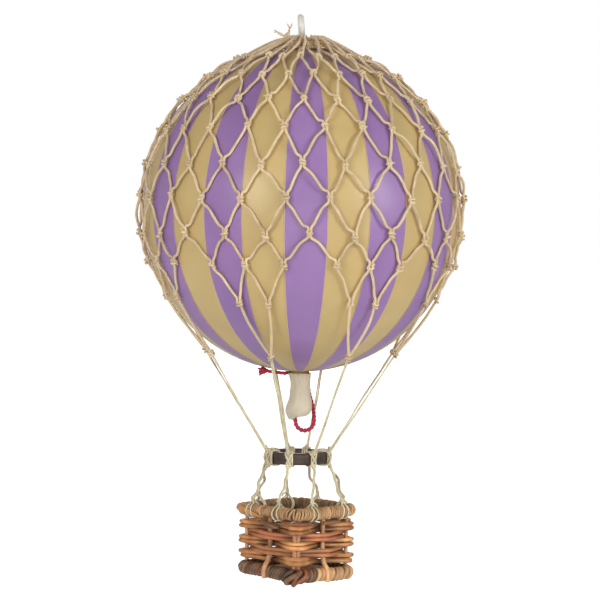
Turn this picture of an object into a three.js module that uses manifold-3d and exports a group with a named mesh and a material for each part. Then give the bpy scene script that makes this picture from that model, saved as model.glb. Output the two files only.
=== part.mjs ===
// Hanging hot-air-balloon model: a striped ball in a knotted cord net, with a load ring and a
// wicker basket slung below it. Millimetres, +Z up, front at -Y, origin where the hook bears
// on the hanging eye.
import * as THREE from 'three';
import { mergeVertices } from 'three/addons/utils/BufferGeometryUtils.js';
import Module from 'manifold-3d';

const wasm = await Module();
wasm.setup();

// Heights below are measured from a level just above the ball's middle, under the origin.
const LEVEL_Z = -106.6;

// Ball
const BALL_MIDDLE_Z = -2.5;
const BALL_RADIUS = 91.2;
const BALL_HALF_HEIGHT = 92.5;
const BALL_WALL = 1.5;
const BALL_SEGMENTS = 48;
const BALL_LATITUDE_STEPS = 13;
const GORE_COUNT = 12;
const GORE_TURN = 1.7;
const GORE_LATITUDE = 83;
const GORE_WIDTH_SHARE = 0.995;
const GORE_GAP = 0.2;
const GORE_THICKNESS = 0.3;
const SPIGOT_OUTER = 4.6;
const SPIGOT_INNER = 3.9;
const SPIGOT_END_Z = -98.1;
const CROWN_HOLE = 2.3;

// Hanging eye
const EYE_BAR_RADIUS = 1.9;
const EYE_LOOP_RADIUS = 5.1;
const EYE_LOOP_Z = 103.4;
// Stem below the loop, from its head inside the ball up: radius, height
const EYE_STEM_PROFILE = [
  [0, 82.3],
  [3.2, 82.3],
  [3.4, 84.1],
  [1.9, 84.9],
  [1.9, 90.3],
  [4.6, 90.3],
  [4.6, 91.3],
  [1.9, 92.1],
  [1.9, 97.6],
  [0, 97.6],
];
const RETAINER_INNER = 2.3;
const RETAINER_OUTER = 6;
const RETAINER_BOTTOM_Z = 86.2;
const RETAINER_TOP_Z = 87.7;

// Cords
const CORD = 1.7;
const LINE_CORD = 1.35;
const RED_CORD_RADIUS = 1.3;

// Net: latitude of each row of 24 knots, from the crown down
const NET_ROWS = [66, 53.3, 41, 29, 15.7, 4.2, -8, -18.4];
const NET_COLUMNS = 24;
const NET_TURN = -9.4;
const NET_TWIST = 0.72;
const NET_CLEARANCE = 1.9;
const CROWN_RING_RADIUS = 11.6;
const CROWN_RING_CLEARANCE = 3.8;
const GROUP_COUNT = 8;
const GROUP_TURN = -19.4;
const GROUP_SPREAD = 13;
const PAIR_LATITUDE = -32.2;
const PAIR_SPREAD = 6;
const MERGE_RADIUS = 57;
const MERGE_Z = -84;
const MERGE_SLOPE = { out: 0.83, up: -0.55 };
const STUB_RADIUS = 54.6;
const STUB_Z = -87.9;
const CROWN_CORD_RADIUS = 9.6;
const CROWN_CORD_Z = 95.6;
const CROWN_TAIL_ENDS = [
  [-16.6, -1, 100.6],
  [-8.2, -1.5, 104.4],
];

// Load ring and its hitches
const RING_Z = -144.7;
const RING_OUTER = 17.6;
const RING_INNER = 12.6;
const RING_HEIGHT = 6.9;
const RING_ROUND = 1.2;
const LINE_AZIMUTHS = [-16, 29, 74, 106, 164, 196, 254, 299];
const HITCH_GAP = 0.3;
const HITCH_HALF_WIDTH = 2.1;
const HITCH_CUT = 1.5;
const LINE_OVERLAP = 0.5;
const LINE_END_RADIUS = 21.2;
const UPPER_LINE_END_Z = -140.8;
const LOWER_LINE_TOP_Z = -149.2;
const LOOP_STEPS = 12;

// Neck sleeve and red cord
const SLEEVE_WALL = 0.8;
const SLEEVE_PROFILE = [
  [6.35, -96.2],
  [6.1, -100],
  [5.8, -105],
  [6.3, -110],
  [7.0, -114.5],
  [6.6, -118],
  [6.0, -119.6],
];
// The tie passes behind the neck, from a knot at the right round to its tail at the left
const TIE_RADIUS = 8.05;
const TIE_Z = -96.5;
const TIE_KNOT_DEGREES = 48;
const TIE_KNOT_RADIUS = 1.75;
const TIE_TAIL_DEGREES = 186;
const TIE_STEPS = 12;
const TIE_TAIL_END = [-23.4, -2.2, -95.3];
const TIE_TAIL_END_RADIUS = 1.9;
const PULL_CORD_ROUTE = [
  [5.6, 6.2, -99.6],
  [5.5, 6.1, -104],
  [6.4, 5.4, -109],
  [7.9, 4.1, -114],
  [8.9, 2.6, -119],
  [9.2, 1.1, -124],
  [8.4, 0.2, -126.8],
  [6.4, -0.6, -128.7],
  [3.8, -1.2, -129.4],
  [1.2, -1.6, -128.7],
  [-0.8, -1.7, -126.8],
  [-1.6, -1.6, -124],
  [-1.7, -1.2, -118.5],
  [-1.6, -0.6, -111.6],
];
const PULL_CORD_STEPS = 36;

// Basket
const BASKET_TURN = 45;
const TOP_RIM_HALF = 23.1;
const BOTTOM_RIM_HALF = 22.4;
const RIM_CORNER = 4.7;
// Shares of a quarter, from its corner, at which a rim's outline is drawn
const RIM_SHARES = [-0.5, -0.12, -0.065, 0, 0.065, 0.12];
const WEAVE_HALF = 21.2;
const WEAVE_CORNER = 3.2;
const TOP_RIM_RADIUS = 3.7;
const TOP_RIM_Z = -175;
const BOTTOM_RIM_RADIUS = 4.1;
const BOTTOM_RIM_Z = -210;
const POST_RADIUS = 2.0;
const STAKE_RADIUS = 1.8;
const WEAVER_THICKNESS = 2.2;
const WEAVER_STEPS = 48;
const OUTER_WEAVER = {
  levels: [-184, -192.85, -201.7],
  height: 4.8,
  corner: WEAVE_CORNER,
  offset: 0,
  swing: 3.65,
  dropTurn: 0.5,
};
const INNER_WEAVER = {
  levels: [-188.42, -197.27],
  height: 3.2,
  corner: 8,
  offset: 0.9,
  swing: -2.55,
  dropTurn: 0.625,
};
const FLOOR_CORNER = 3;
const FLOOR_POINTS = 24;
const FLOOR_HALF = 17.4;
const FLOOR_TOP_Z = -209;
const FLOOR_THICKNESS = 2;
// Where each lower line is tied: side of the basket, then share of that side's length
const RIM_TIES = [
  [3, 0.7],
  [0, 0.25],
  [0, 0.78],
  [1, 0.2],
  [1, 0.65],
  [2, 0.16],
  [2, 0.66],
  [3, 0.24],
];
const SQUARE_CORNERS = [
  [-1, -1],
  [1, -1],
  [1, 1],
  [-1, 1],
];

const COLOURS = {
  gold: 0xc8ac70,
  lavender: 0x9b78b2,
  cord: 0xcdb088,
  white: 0xf2f0ec,
  sleeve: 0xe1d7b9,
  red: 0xb4233c,
  ring: 0x46322a,
  rim: 0x8b6a4a,
  cane: 0xc8803c,
  brown: 0xa85f40,
};

const root = new THREE.Group();
const hung = new THREE.Group();
hung.position.z = LEVEL_Z;
root.add(hung);
const basket = new THREE.Group();
basket.rotation.z = THREE.MathUtils.degToRad(BASKET_TURN);
hung.add(basket);

function radians(degrees) {
  return THREE.MathUtils.degToRad(degrees);
}

/** A point at an azimuth counted from the front (-Y) towards +X. */
function around(radius, azimuth, z) {
  const a = radians(azimuth);
  return new THREE.Vector3(radius * Math.sin(a), -radius * Math.cos(a), z);
}

function signedVolume(geometry) {
  const at = geometry.getAttribute('position');
  const index = geometry.getIndex();
  const [a, b, c] = [new THREE.Vector3(), new THREE.Vector3(), new THREE.Vector3()];
  let sum = 0;
  for (let i = 0; i < index.count; i += 3) {
    a.fromBufferAttribute(at, index.getX(i));
    b.fromBufferAttribute(at, index.getX(i + 1));
    c.fromBufferAttribute(at, index.getX(i + 2));
    sum += a.dot(b.cross(c));
  }
  return sum / 6;
}

/** The same body with shared corners, every face pointing out. */
function outward(source) {
  const bare = source.clone();
  bare.deleteAttribute('normal');
  bare.deleteAttribute('uv');
  const geometry = mergeVertices(bare, 1e-5);
  if (signedVolume(geometry) < 0) {
    const index = geometry.getIndex();
    for (let i = 0; i < index.count; i += 3) {
      const kept = index.getX(i);
      index.setX(i, index.getX(i + 1));
      index.setX(i + 1, kept);
    }
  }
  return geometry;
}

function place(name, geometry, colour, parent = hung) {
  const body = outward(geometry);
  body.computeVertexNormals();
  const material = new THREE.MeshStandardMaterial({ color: colour, roughness: 0.75 });
  const mesh = new THREE.Mesh(body, material);
  mesh.name = name;
  parent.add(mesh);
  return mesh;
}

function fromTriangles(points, triangles) {
  const geometry = new THREE.BufferGeometry();
  const flat = points.flatMap((p) => [p.x, p.y, p.z]);
  geometry.setAttribute('position', new THREE.Float32BufferAttribute(flat, 3));
  geometry.setIndex(triangles.flat());
  return geometry;
}

/** Skins a row of equal outlines, joined end to start when closed, else capped. */
function skin(outlines, closed) {
  const count = outlines[0].length;
  const points = outlines.flat();
  const triangles = [];
  const bands = closed ? outlines.length : outlines.length - 1;
  for (let i = 0; i < bands; i += 1) {
    const here = i * count;
    const next = ((i + 1) % outlines.length) * count;
    for (let k = 0; k < count; k += 1) {
      const turn = (k + 1) % count;
      triangles.push([here + k, here + turn, next + turn], [here + k, next + turn, next + k]);
    }
  }
  if (!closed) {
    const last = (outlines.length - 1) * count;
    for (let k = 1; k < count - 1; k += 1) {
      triangles.push([0, k + 1, k], [last, last + k, last + k + 1]);
    }
  }
  return fromTriangles(points, triangles);
}

/** An outline of a round or oval section, given its centre and two half-axes. */
function oval(centre, halfA, halfB, sides = 8) {
  return Array.from({ length: sides }, (unused, k) => {
    const a = ((k + 0.5) / sides) * 2 * Math.PI;
    return centre
      .clone()
      .addScaledVector(halfA, Math.cos(a))
      .addScaledVector(halfB, Math.sin(a));
  });
}

/** A straight piece of doubled line, two cords wide and one deep. */
function doubleCord(from, to, sideways) {
  const along = to.clone().sub(from).normalize();
  const wide = sideways.clone().addScaledVector(along, -sideways.dot(along)).normalize();
  const deep = along.clone().cross(wide);
  const ends = [from, to].map((p) =>
    oval(p, wide.clone().multiplyScalar(LINE_CORD), deep.clone().multiplyScalar(LINE_CORD / 2)),
  );
  return skin(ends, false);
}

/** A round bar between two points, with its own radius at each end. */
function bar(from, to, startRadius, endRadius) {
  const along = to.clone().sub(from).normalize();
  const helper = Math.abs(along.z) < 0.8 ? new THREE.Vector3(0, 0, 1) : new THREE.Vector3(1, 0, 0);
  const u = along.clone().cross(helper).normalize();
  const v = along.clone().cross(u);
  const ends = [
    [from, startRadius],
    [to, endRadius],
  ].map(([p, r]) => oval(p, u.clone().multiplyScalar(r), v.clone().multiplyScalar(r)));
  return skin(ends, false);
}

function lathe(profile, segments, startDegrees = 0) {
  const points = profile.map(([r, z]) => new THREE.Vector2(r, z));
  const geometry = new THREE.LatheGeometry(points, segments, radians(startDegrees));
  geometry.rotateX(Math.PI / 2);
  return geometry;
}

function toManifold(geometry) {
  const body = outward(geometry);
  return new wasm.Manifold(
    new wasm.Mesh({
      numProp: 3,
      vertProperties: new Float32Array(body.getAttribute('position').array),
      triVerts: new Uint32Array(body.getIndex().array),
    }),
  );
}

/** One closed body from several that run into each other. */
function joined(geometries) {
  const whole = geometries.map(toManifold).reduce((sum, next) => sum.add(next));
  const result = whole.getMesh();
  const geometry = new THREE.BufferGeometry();
  geometry.setAttribute('position', new THREE.BufferAttribute(result.vertProperties, 3));
  geometry.setIndex(new THREE.BufferAttribute(result.triVerts, 1));
  return geometry;
}

/** A point on the ball at a latitude and azimuth, lifted clear of its surface. */
function onBall(latitude, azimuth, lift) {
  const a = radians(latitude);
  const z = BALL_MIDDLE_Z + (BALL_HALF_HEIGHT + lift) * Math.sin(a);
  return around((BALL_RADIUS + lift) * Math.cos(a), azimuth, z);
}

function ballNormal(latitude, azimuth) {
  const a = radians(latitude);
  return around(Math.cos(a) / BALL_RADIUS, azimuth, Math.sin(a) / BALL_HALF_HEIGHT).normalize();
}

// ---- Ball, its painted gores, the eye and what holds it ----

const goreLatitudes = Array.from(
  { length: BALL_LATITUDE_STEPS },
  (unused, i) => -GORE_LATITUDE + (2 * GORE_LATITUDE * i) / (BALL_LATITUDE_STEPS - 1),
);

/** Height of the ball's outer or inner face at a radius: way is 1 for its upper half, -1 below. */
function heightAt(radius, inset, way) {
  const share = radius / (BALL_RADIUS - inset);
  return BALL_MIDDLE_Z + way * (BALL_HALF_HEIGHT - inset) * Math.sqrt(1 - share ** 2);
}

/** Radius and height on the ball's outer or inner face at a latitude. */
function faceAt(latitude, inset) {
  const point = onBall(latitude, 90, -inset);
  return [point.x, point.z];
}

function shellProfile() {
  const outer = goreLatitudes.map((latitude) => faceAt(latitude, 0));
  const inner = goreLatitudes
    .filter((latitude, i) => i % 2 === 0)
    .reverse()
    .map((latitude) => faceAt(latitude, BALL_WALL));
  const profile = [
    [SPIGOT_INNER, SPIGOT_END_Z],
    [SPIGOT_OUTER, SPIGOT_END_Z],
    [SPIGOT_OUTER, heightAt(SPIGOT_OUTER, 0, -1)],
    ...outer,
    [CROWN_HOLE, heightAt(CROWN_HOLE, 0, 1)],
    [CROWN_HOLE, heightAt(CROWN_HOLE, BALL_WALL, 1)],
    ...inner,
    [SPIGOT_INNER, heightAt(SPIGOT_INNER, BALL_WALL, -1)],
  ];
  return [...profile, profile[0]];
}

place('envelope_shell', lathe(shellProfile(), BALL_SEGMENTS, GORE_TURN), COLOURS.gold);

/** One painted gore: a thin skin that follows the ball's own facets. */
function gore(centreAzimuth) {
  const step = (360 / BALL_SEGMENTS) * GORE_WIDTH_SHARE;
  const outlines = goreLatitudes.map((latitude) => {
    const ring = [];
    for (const lift of [GORE_GAP, GORE_GAP + GORE_THICKNESS]) {
      const row = [-1, 0, 1].map((k) => onBall(latitude, centreAzimuth + k * step, lift));
      ring.push(...(lift === GORE_GAP ? row : row.reverse()));
    }
    return ring;
  });
  return skin(outlines, false);
}

for (let i = 0; i < GORE_COUNT; i += 1) {
  const name = `gore_${String(i + 1).padStart(2, '0')}`;
  place(name, gore(GORE_TURN + (360 / GORE_COUNT) * i), COLOURS.lavender);
}

const eyeLoop = new THREE.TorusGeometry(EYE_LOOP_RADIUS, EYE_BAR_RADIUS, 8, 20);
eyeLoop.rotateX(Math.PI / 2);
eyeLoop.rotateZ(Math.PI / 2);
eyeLoop.translate(0, 0, EYE_LOOP_Z);
place('hanging_eye', joined([eyeLoop, lathe(EYE_STEM_PROFILE, 16)]), COLOURS.white);
place(
  'eye_retainer',
  lathe(
    [
      [RETAINER_INNER, RETAINER_BOTTOM_Z],
      [RETAINER_OUTER, RETAINER_BOTTOM_Z],
      [RETAINER_OUTER, RETAINER_TOP_Z],
      [RETAINER_INNER, RETAINER_TOP_Z],
      [RETAINER_INNER, RETAINER_BOTTOM_Z],
    ],
    20,
  ),
  COLOURS.white,
);

// ---- Neck sleeve, its tie and the red cord ----

const sleeveInner = SLEEVE_PROFILE.map(([r, z]) => [r - SLEEVE_WALL, z]).reverse();
place(
  'neck_sleeve',
  lathe([...SLEEVE_PROFILE, ...sleeveInner, SLEEVE_PROFILE[0]], 16),
  COLOURS.sleeve,
);

/** A point of the tie's centreline, at an angle counted from +X towards +Y. */
function onTie(degrees) {
  return around(TIE_RADIUS, degrees + 90, TIE_Z);
}

const tieArc = skin(
  Array.from({ length: TIE_STEPS + 1 }, (unused, i) => {
    const share = i / TIE_STEPS;
    const at = onTie(THREE.MathUtils.lerp(TIE_KNOT_DEGREES, TIE_TAIL_DEGREES, share));
    const out = at.clone().setZ(0).setLength(RED_CORD_RADIUS);
    return oval(at, out, new THREE.Vector3(0, 0, RED_CORD_RADIUS));
  }),
  false,
);
const tieKnot = new THREE.SphereGeometry(TIE_KNOT_RADIUS, 10, 8);
tieKnot.translate(...onTie(TIE_KNOT_DEGREES).toArray());
const tieTail = bar(
  onTie(TIE_TAIL_DEGREES),
  new THREE.Vector3(...TIE_TAIL_END),
  RED_CORD_RADIUS,
  TIE_TAIL_END_RADIUS,
);
place('neck_tie', joined([tieArc, tieKnot, tieTail]), COLOURS.red);

const cordSection = new THREE.Shape();
for (let k = 0; k < 8; k += 1) {
  const a = (k / 8) * 2 * Math.PI;
  const point = [RED_CORD_RADIUS * Math.cos(a), RED_CORD_RADIUS * Math.sin(a)];
  if (k === 0) {
    cordSection.moveTo(...point);
  } else {
    cordSection.lineTo(...point);
  }
}
const pullCordRoute = new THREE.CatmullRomCurve3(
  PULL_CORD_ROUTE.map((p) => new THREE.Vector3(...p)),
);
place(
  'pull_cord',
  new THREE.ExtrudeGeometry(cordSection, {
    steps: PULL_CORD_STEPS,
    bevelEnabled: false,
    extrudePath: pullCordRoute,
  }),
  COLOURS.red,
);

// ---- Net ----

/** Where two neighbouring cords of a knot meet, half a cord's width out from both. */
function mitre(at, first, second, normal) {
  let turn = Math.atan2(normal.dot(first.clone().cross(second)), first.dot(second));
  if (turn <= 1e-6) {
    turn += 2 * Math.PI;
  }
  const out = first.clone().applyAxisAngle(normal, turn / 2);
  const reach = Math.min(CORD / 2 / Math.sin(turn / 2), 2 * CORD);
  return at.clone().addScaledVector(out, reach);
}

/** The corners round one knot, with its neighbours in order of angle. */
function knotCorners(knot, neighbours) {
  const directions = neighbours.map((other) => {
    const way = other.at.clone().sub(knot.at);
    return way.addScaledVector(knot.normal, -way.dot(knot.normal)).normalize();
  });
  const base = directions[0];
  const across = knot.normal.clone().cross(base);
  const order = directions
    .map((way, i) => [Math.atan2(way.dot(across), way.dot(base)), i])
    .map(([angle, i]) => [angle < -1e-9 ? angle + 2 * Math.PI : angle, i])
    .sort((a, b) => a[0] - b[0])
    .map(([, i]) => i);
  if (order.length === 1) {
    return {
      order,
      corners: [across, across.clone().negate()].map((way) =>
        knot.at.clone().addScaledVector(way, CORD / 2),
      ),
    };
  }
  const corners = order.map((i, k) =>
    mitre(knot.at, directions[i], directions[order[(k + 1) % order.length]], knot.normal),
  );
  return { order, corners };
}

/** A cord lattice as one closed body, from its knots and the pairs of knots that cords join. */
function lattice(knots, cords) {
  const neighbours = knots.map(() => []);
  for (const [i, j] of cords) {
    neighbours[i].push(j);
    neighbours[j].push(i);
  }
  const points = [];
  const triangles = [];
  const sides = knots.map((knot, i) => {
    const { order, corners } = knotCorners(
      knot,
      neighbours[i].map((j) => knots[j]),
    );
    const first = points.length;
    for (const corner of corners) {
      points.push(corner.clone().addScaledVector(knot.normal, CORD / 2));
      points.push(corner.clone().addScaledVector(knot.normal, -CORD / 2));
    }
    for (let k = 1; k < corners.length - 1; k += 1) {
      const [a, b, c] = [first, first + 2 * k, first + 2 * (k + 1)];
      triangles.push([a, b, c], [a + 1, c + 1, b + 1]);
    }
    const found = new Map();
    order.forEach((n, k) => {
      const before = order.length === 1 ? 1 : (k + corners.length - 1) % corners.length;
      found.set(neighbours[i][n], { left: first + 2 * k, right: first + 2 * before });
    });
    if (order.length === 1) {
      const [left, right] = [first, first + 2];
      triangles.push([right, left, left + 1], [right, left + 1, right + 1]);
    }
    return found;
  });
  for (const [i, j] of cords) {
    const here = sides[i].get(j);
    const there = sides[j].get(i);
    const [a, b, c, d] = [here.right, there.left, there.right, here.left];
    triangles.push([a, b, c], [a, c, d]);
    triangles.push([a + 1, c + 1, b + 1], [a + 1, d + 1, c + 1]);
    triangles.push([b, a, a + 1], [b, a + 1, b + 1]);
    triangles.push([d, c, c + 1], [d, c + 1, d + 1]);
  }
  return fromTriangles(points, triangles);
}

function netKnot(latitude, azimuth, clearance = NET_CLEARANCE) {
  const lift = clearance + CORD / 2;
  return { at: onBall(latitude, azimuth, lift), normal: ballNormal(latitude, azimuth) };
}

function rowTurn(row) {
  return NET_TURN + NET_TWIST * row;
}

/** Azimuth of a knot on a full row; the last row is drawn together in groups of three. */
function rowAzimuth(row, column) {
  const spacing = 360 / NET_COLUMNS;
  const plain = rowTurn(row) + column * spacing + (row % 2 === 1 ? 0 : spacing / 2);
  if (row < NET_ROWS.length - 1) {
    return plain;
  }
  const group = Math.round((plain - GROUP_TURN) / 45);
  const centre = GROUP_TURN + group * 45;
  return centre + Math.round((plain - centre) / spacing) * GROUP_SPREAD;
}

function buildNet() {
  const knots = [];
  const cords = [];
  const crownLatitude = THREE.MathUtils.radToDeg(Math.acos(CROWN_RING_RADIUS / BALL_RADIUS));
  for (let c = 0; c < NET_COLUMNS; c += 1) {
    knots.push(netKnot(crownLatitude, rowAzimuth(0, c), CROWN_RING_CLEARANCE));
    cords.push([c, (c + 1) % NET_COLUMNS], [c, NET_COLUMNS + c]);
  }
  NET_ROWS.forEach((latitude, row) => {
    const first = knots.length;
    for (let c = 0; c < NET_COLUMNS; c += 1) {
      knots.push(netKnot(latitude, rowAzimuth(row, c)));
      if (row < NET_ROWS.length - 1) {
        const shifted = row % 2 === 1 ? c - 1 : c + 1;
        const below = first + NET_COLUMNS;
        cords.push([first + c, below + c]);
        cords.push([first + c, below + ((shifted + NET_COLUMNS) % NET_COLUMNS)]);
      }
    }
  });
  const lastRow = knots.length - NET_COLUMNS;
  for (let g = 0; g < GROUP_COUNT; g += 1) {
    const centre = GROUP_TURN + 45 * g;
    const drawn = LINE_AZIMUTHS[g];
    const middle = Math.round((centre - rowTurn(NET_ROWS.length - 1)) / (360 / NET_COLUMNS));
    const column = (k) => lastRow + ((middle + k + NET_COLUMNS) % NET_COLUMNS);
    const pair = knots.length;
    knots.push(netKnot(PAIR_LATITUDE, centre - PAIR_SPREAD));
    knots.push(netKnot(PAIR_LATITUDE, centre + PAIR_SPREAD));
    const outwardDown = around(MERGE_SLOPE.out, drawn, MERGE_SLOPE.up).normalize();
    knots.push({ at: around(MERGE_RADIUS, drawn, MERGE_Z), normal: outwardDown });
    knots.push({ at: around(STUB_RADIUS, drawn, STUB_Z), normal: outwardDown });
    cords.push([column(-1), pair], [column(0), pair], [column(0), pair + 1]);
    cords.push([column(1), pair + 1], [pair, pair + 2], [pair + 1, pair + 2]);
    cords.push([pair + 2, pair + 3]);
  }
  return lattice(knots, cords);
}

place('net', buildNet(), COLOURS.cord);

const crownLoop = new THREE.TorusGeometry(CROWN_CORD_RADIUS, CORD / 2, 6, 24);
crownLoop.translate(0, 0, CROWN_CORD_Z);
const crownKnot = new THREE.Vector3(-CROWN_CORD_RADIUS, 0, CROWN_CORD_Z + CORD / 3);
const crownTails = CROWN_TAIL_ENDS.map((end) =>
  bar(crownKnot, new THREE.Vector3(...end), CORD / 2, CORD / 2),
);
place('crown_cord', joined([crownLoop, ...crownTails]), COLOURS.cord);

// ---- Lines, load ring and hitches ----

const ringHalf = RING_HEIGHT / 2;
place(
  'load_ring',
  lathe(
    [
      [RING_OUTER, RING_Z - ringHalf + RING_ROUND],
      [RING_OUTER, RING_Z + ringHalf - RING_ROUND],
      [RING_OUTER - RING_ROUND, RING_Z + ringHalf],
      [RING_INNER + RING_ROUND, RING_Z + ringHalf],
      [RING_INNER, RING_Z + ringHalf - RING_ROUND],
      [RING_INNER, RING_Z - ringHalf + RING_ROUND],
      [RING_INNER + RING_ROUND, RING_Z - ringHalf],
      [RING_OUTER - RING_ROUND, RING_Z - ringHalf],
      [RING_OUTER, RING_Z - ringHalf + RING_ROUND],
    ],
    36,
  ),
  COLOURS.ring,
);

/** A band of cord wound round the ring's section. */
function hitch(azimuth) {
  const reach = HITCH_GAP + CORD / 2;
  const middle = (RING_OUTER + RING_INNER) / 2;
  const halfR = (RING_OUTER - RING_INNER) / 2 + reach;
  const halfZ = ringHalf + reach;
  const path = [
    [halfR, -halfZ + HITCH_CUT],
    [halfR, halfZ - HITCH_CUT],
    [halfR - HITCH_CUT, halfZ],
    [-halfR + HITCH_CUT, halfZ],
    [-halfR, halfZ - HITCH_CUT],
    [-halfR, -halfZ + HITCH_CUT],
    [-halfR + HITCH_CUT, -halfZ],
    [halfR - HITCH_CUT, -halfZ],
  ];
  const side = around(HITCH_HALF_WIDTH, azimuth + 90, 0);
  const outlines = path.map(([r, z]) =>
    SQUARE_CORNERS.map(([across, out]) => {
      const grow = 1 + (out * CORD) / 2 / Math.max(Math.abs(r), Math.abs(z));
      return around(middle + r * grow, azimuth, RING_Z + z * grow).addScaledVector(side, across);
    }),
  );
  return skin(outlines, true);
}

/** Centre of the top rim's roll at a share of one side's length, in the basket's own axes. */
function rimPoint(side, share) {
  const [from, to] = [SQUARE_CORNERS[side], SQUARE_CORNERS[(side + 1) % 4]];
  return new THREE.Vector3(
    TOP_RIM_HALF * (from[0] + (to[0] - from[0]) * share),
    TOP_RIM_HALF * (from[1] + (to[1] - from[1]) * share),
    TOP_RIM_Z,
  );
}

/** A lower line: doubled cord from beside its hitch down to a loop round the rim. */
function lowerLine(azimuth, side, share) {
  const turn = radians(BASKET_TURN);
  const axis = new THREE.Vector3(0, 0, 1);
  const centre = rimPoint(side, share).applyAxisAngle(axis, turn);
  const along = rimPoint(side, 1).sub(rimPoint(side, 0)).normalize().applyAxisAngle(axis, turn);
  const out = along.clone().cross(axis);
  const reach = TOP_RIM_RADIUS + HITCH_GAP + LINE_CORD / 2;
  const outlines = Array.from({ length: LOOP_STEPS }, (unused, k) => {
    const a = (k / LOOP_STEPS) * 2 * Math.PI;
    const away = out.clone().multiplyScalar(Math.cos(a)).addScaledVector(axis, Math.sin(a));
    const at = centre.clone().addScaledVector(away, reach / Math.cos(Math.PI / LOOP_STEPS));
    return SQUARE_CORNERS.map(([across, deep]) =>
      at
        .clone()
        .addScaledVector(along, across * LINE_CORD)
        .addScaledVector(away, (deep * LINE_CORD) / 2),
    );
  });
  const foot = centre.clone().addScaledVector(axis, reach + LINE_CORD / 4);
  const top = around(LINE_END_RADIUS, azimuth, LOWER_LINE_TOP_Z);
  return joined([skin(outlines, true), doubleCord(top, foot, along)]);
}

for (let g = 0; g < GROUP_COUNT; g += 1) {
  const azimuth = LINE_AZIMUTHS[g];
  const [side, share] = RIM_TIES[g];
  const stub = around(STUB_RADIUS, azimuth, STUB_Z);
  const end = around(LINE_END_RADIUS, azimuth, UPPER_LINE_END_Z);
  const start = stub.clone().addScaledVector(end.clone().sub(stub).normalize(), LINE_OVERLAP);
  place(`upper_line_${g + 1}`, doubleCord(start, end, around(1, azimuth + 90, 0)), COLOURS.cord);
  place(`ring_hitch_${g + 1}`, hitch(azimuth), COLOURS.cord);
  place(`lower_line_${g + 1}`, lowerLine(azimuth, side, share), COLOURS.cord);
}

// ---- Basket ----

/** Point and outward direction on a square with rounded corners; corners lie at whole quarters. */
function roundedSquare(turn, half, corner) {
  const straight = half - corner;
  const arc = (Math.PI / 4) * corner;
  const quarter = Math.round(turn * 4);
  const along = (turn * 4 - quarter) * 2 * (straight + arc);
  const bend = THREE.MathUtils.clamp(along, -arc, arc) / corner;
  const run = along - THREE.MathUtils.clamp(along, -arc, arc);
  const facing = ((quarter % 4) * Math.PI) / 2 - (3 * Math.PI) / 4;
  const out = new THREE.Vector3(Math.cos(facing + bend), Math.sin(facing + bend), 0);
  const ahead = new THREE.Vector3(-out.y, out.x, 0);
  const at = new THREE.Vector3(Math.cos(facing), Math.sin(facing), 0)
    .multiplyScalar(straight * Math.SQRT2)
    .addScaledVector(out, corner)
    .addScaledVector(ahead, run);
  return { at, out };
}

function rim(half, radius, z) {
  const up = new THREE.Vector3(0, 0, radius);
  const outlines = [];
  for (let quarter = 0; quarter < 4; quarter += 1) {
    for (const share of RIM_SHARES) {
      const { at, out } = roundedSquare((quarter + share) / 4 + 1, half, RIM_CORNER);
      outlines.push(oval(at.setZ(z), out.clone().multiplyScalar(radius), up, 10));
    }
  }
  return skin(outlines, true);
}

/** A flat weaver: level turns that drop to the next level while beside one stake. */
function weaver({ levels, height, corner, offset, swing, dropTurn }) {
  const share = 2 / WEAVER_STEPS;
  const first = Math.round((dropTurn + share) * WEAVER_STEPS);
  const last = Math.round((dropTurn + levels.length - share) * WEAVER_STEPS);
  const outlines = [];
  for (let i = first; i <= last; i += 1) {
    const turn = i / WEAVER_STEPS;
    const { at, out } = roundedSquare(turn + 1, WEAVE_HALF, corner);
    const passed = turn - dropTurn;
    const level = Math.min(Math.max(Math.floor(passed + 0.5), 0), levels.length - 1);
    const before = Math.max(level - 1, 0);
    const blend = THREE.MathUtils.smoothstep(passed - level, -share, share);
    const z = level === 0 ? levels[0] : THREE.MathUtils.lerp(levels[before], levels[level], blend);
    const beside = offset + swing * Math.cos(8 * Math.PI * turn);
    const middle = at.clone().addScaledVector(out, beside).setZ(z);
    const halfOut = out.clone().multiplyScalar(WEAVER_THICKNESS / 2);
    const halfUp = new THREE.Vector3(0, 0, height / 2);
    outlines.push([
      middle.clone().add(halfOut).add(halfUp),
      middle.clone().sub(halfOut).add(halfUp),
      middle.clone().sub(halfOut).sub(halfUp),
      middle.clone().add(halfOut).sub(halfUp),
    ]);
  }
  return skin(outlines, false);
}

function stake(turn, radius) {
  const { at } = roundedSquare(turn + 1, WEAVE_HALF, WEAVE_CORNER);
  const top = at.clone().setZ(TOP_RIM_Z - TOP_RIM_RADIUS - HITCH_GAP);
  const bottom = at.clone().setZ(BOTTOM_RIM_Z + BOTTOM_RIM_RADIUS + HITCH_GAP);
  return bar(bottom, top, radius, radius);
}

place('basket_top_rim', rim(TOP_RIM_HALF, TOP_RIM_RADIUS, TOP_RIM_Z), COLOURS.rim, basket);
place('basket_bottom_rim', rim(BOTTOM_RIM_HALF, BOTTOM_RIM_RADIUS, BOTTOM_RIM_Z), COLOURS.rim, basket);
for (let i = 0; i < 4; i += 1) {
  place(`corner_post_${i + 1}`, stake(i / 4, POST_RADIUS), COLOURS.cane, basket);
  place(`mid_stake_${i + 1}`, stake(i / 4 + 0.125, STAKE_RADIUS), COLOURS.cane, basket);
}
place('weaver_outer', weaver(OUTER_WEAVER), COLOURS.cane, basket);
place('weaver_inner', weaver(INNER_WEAVER), COLOURS.brown, basket);

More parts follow.
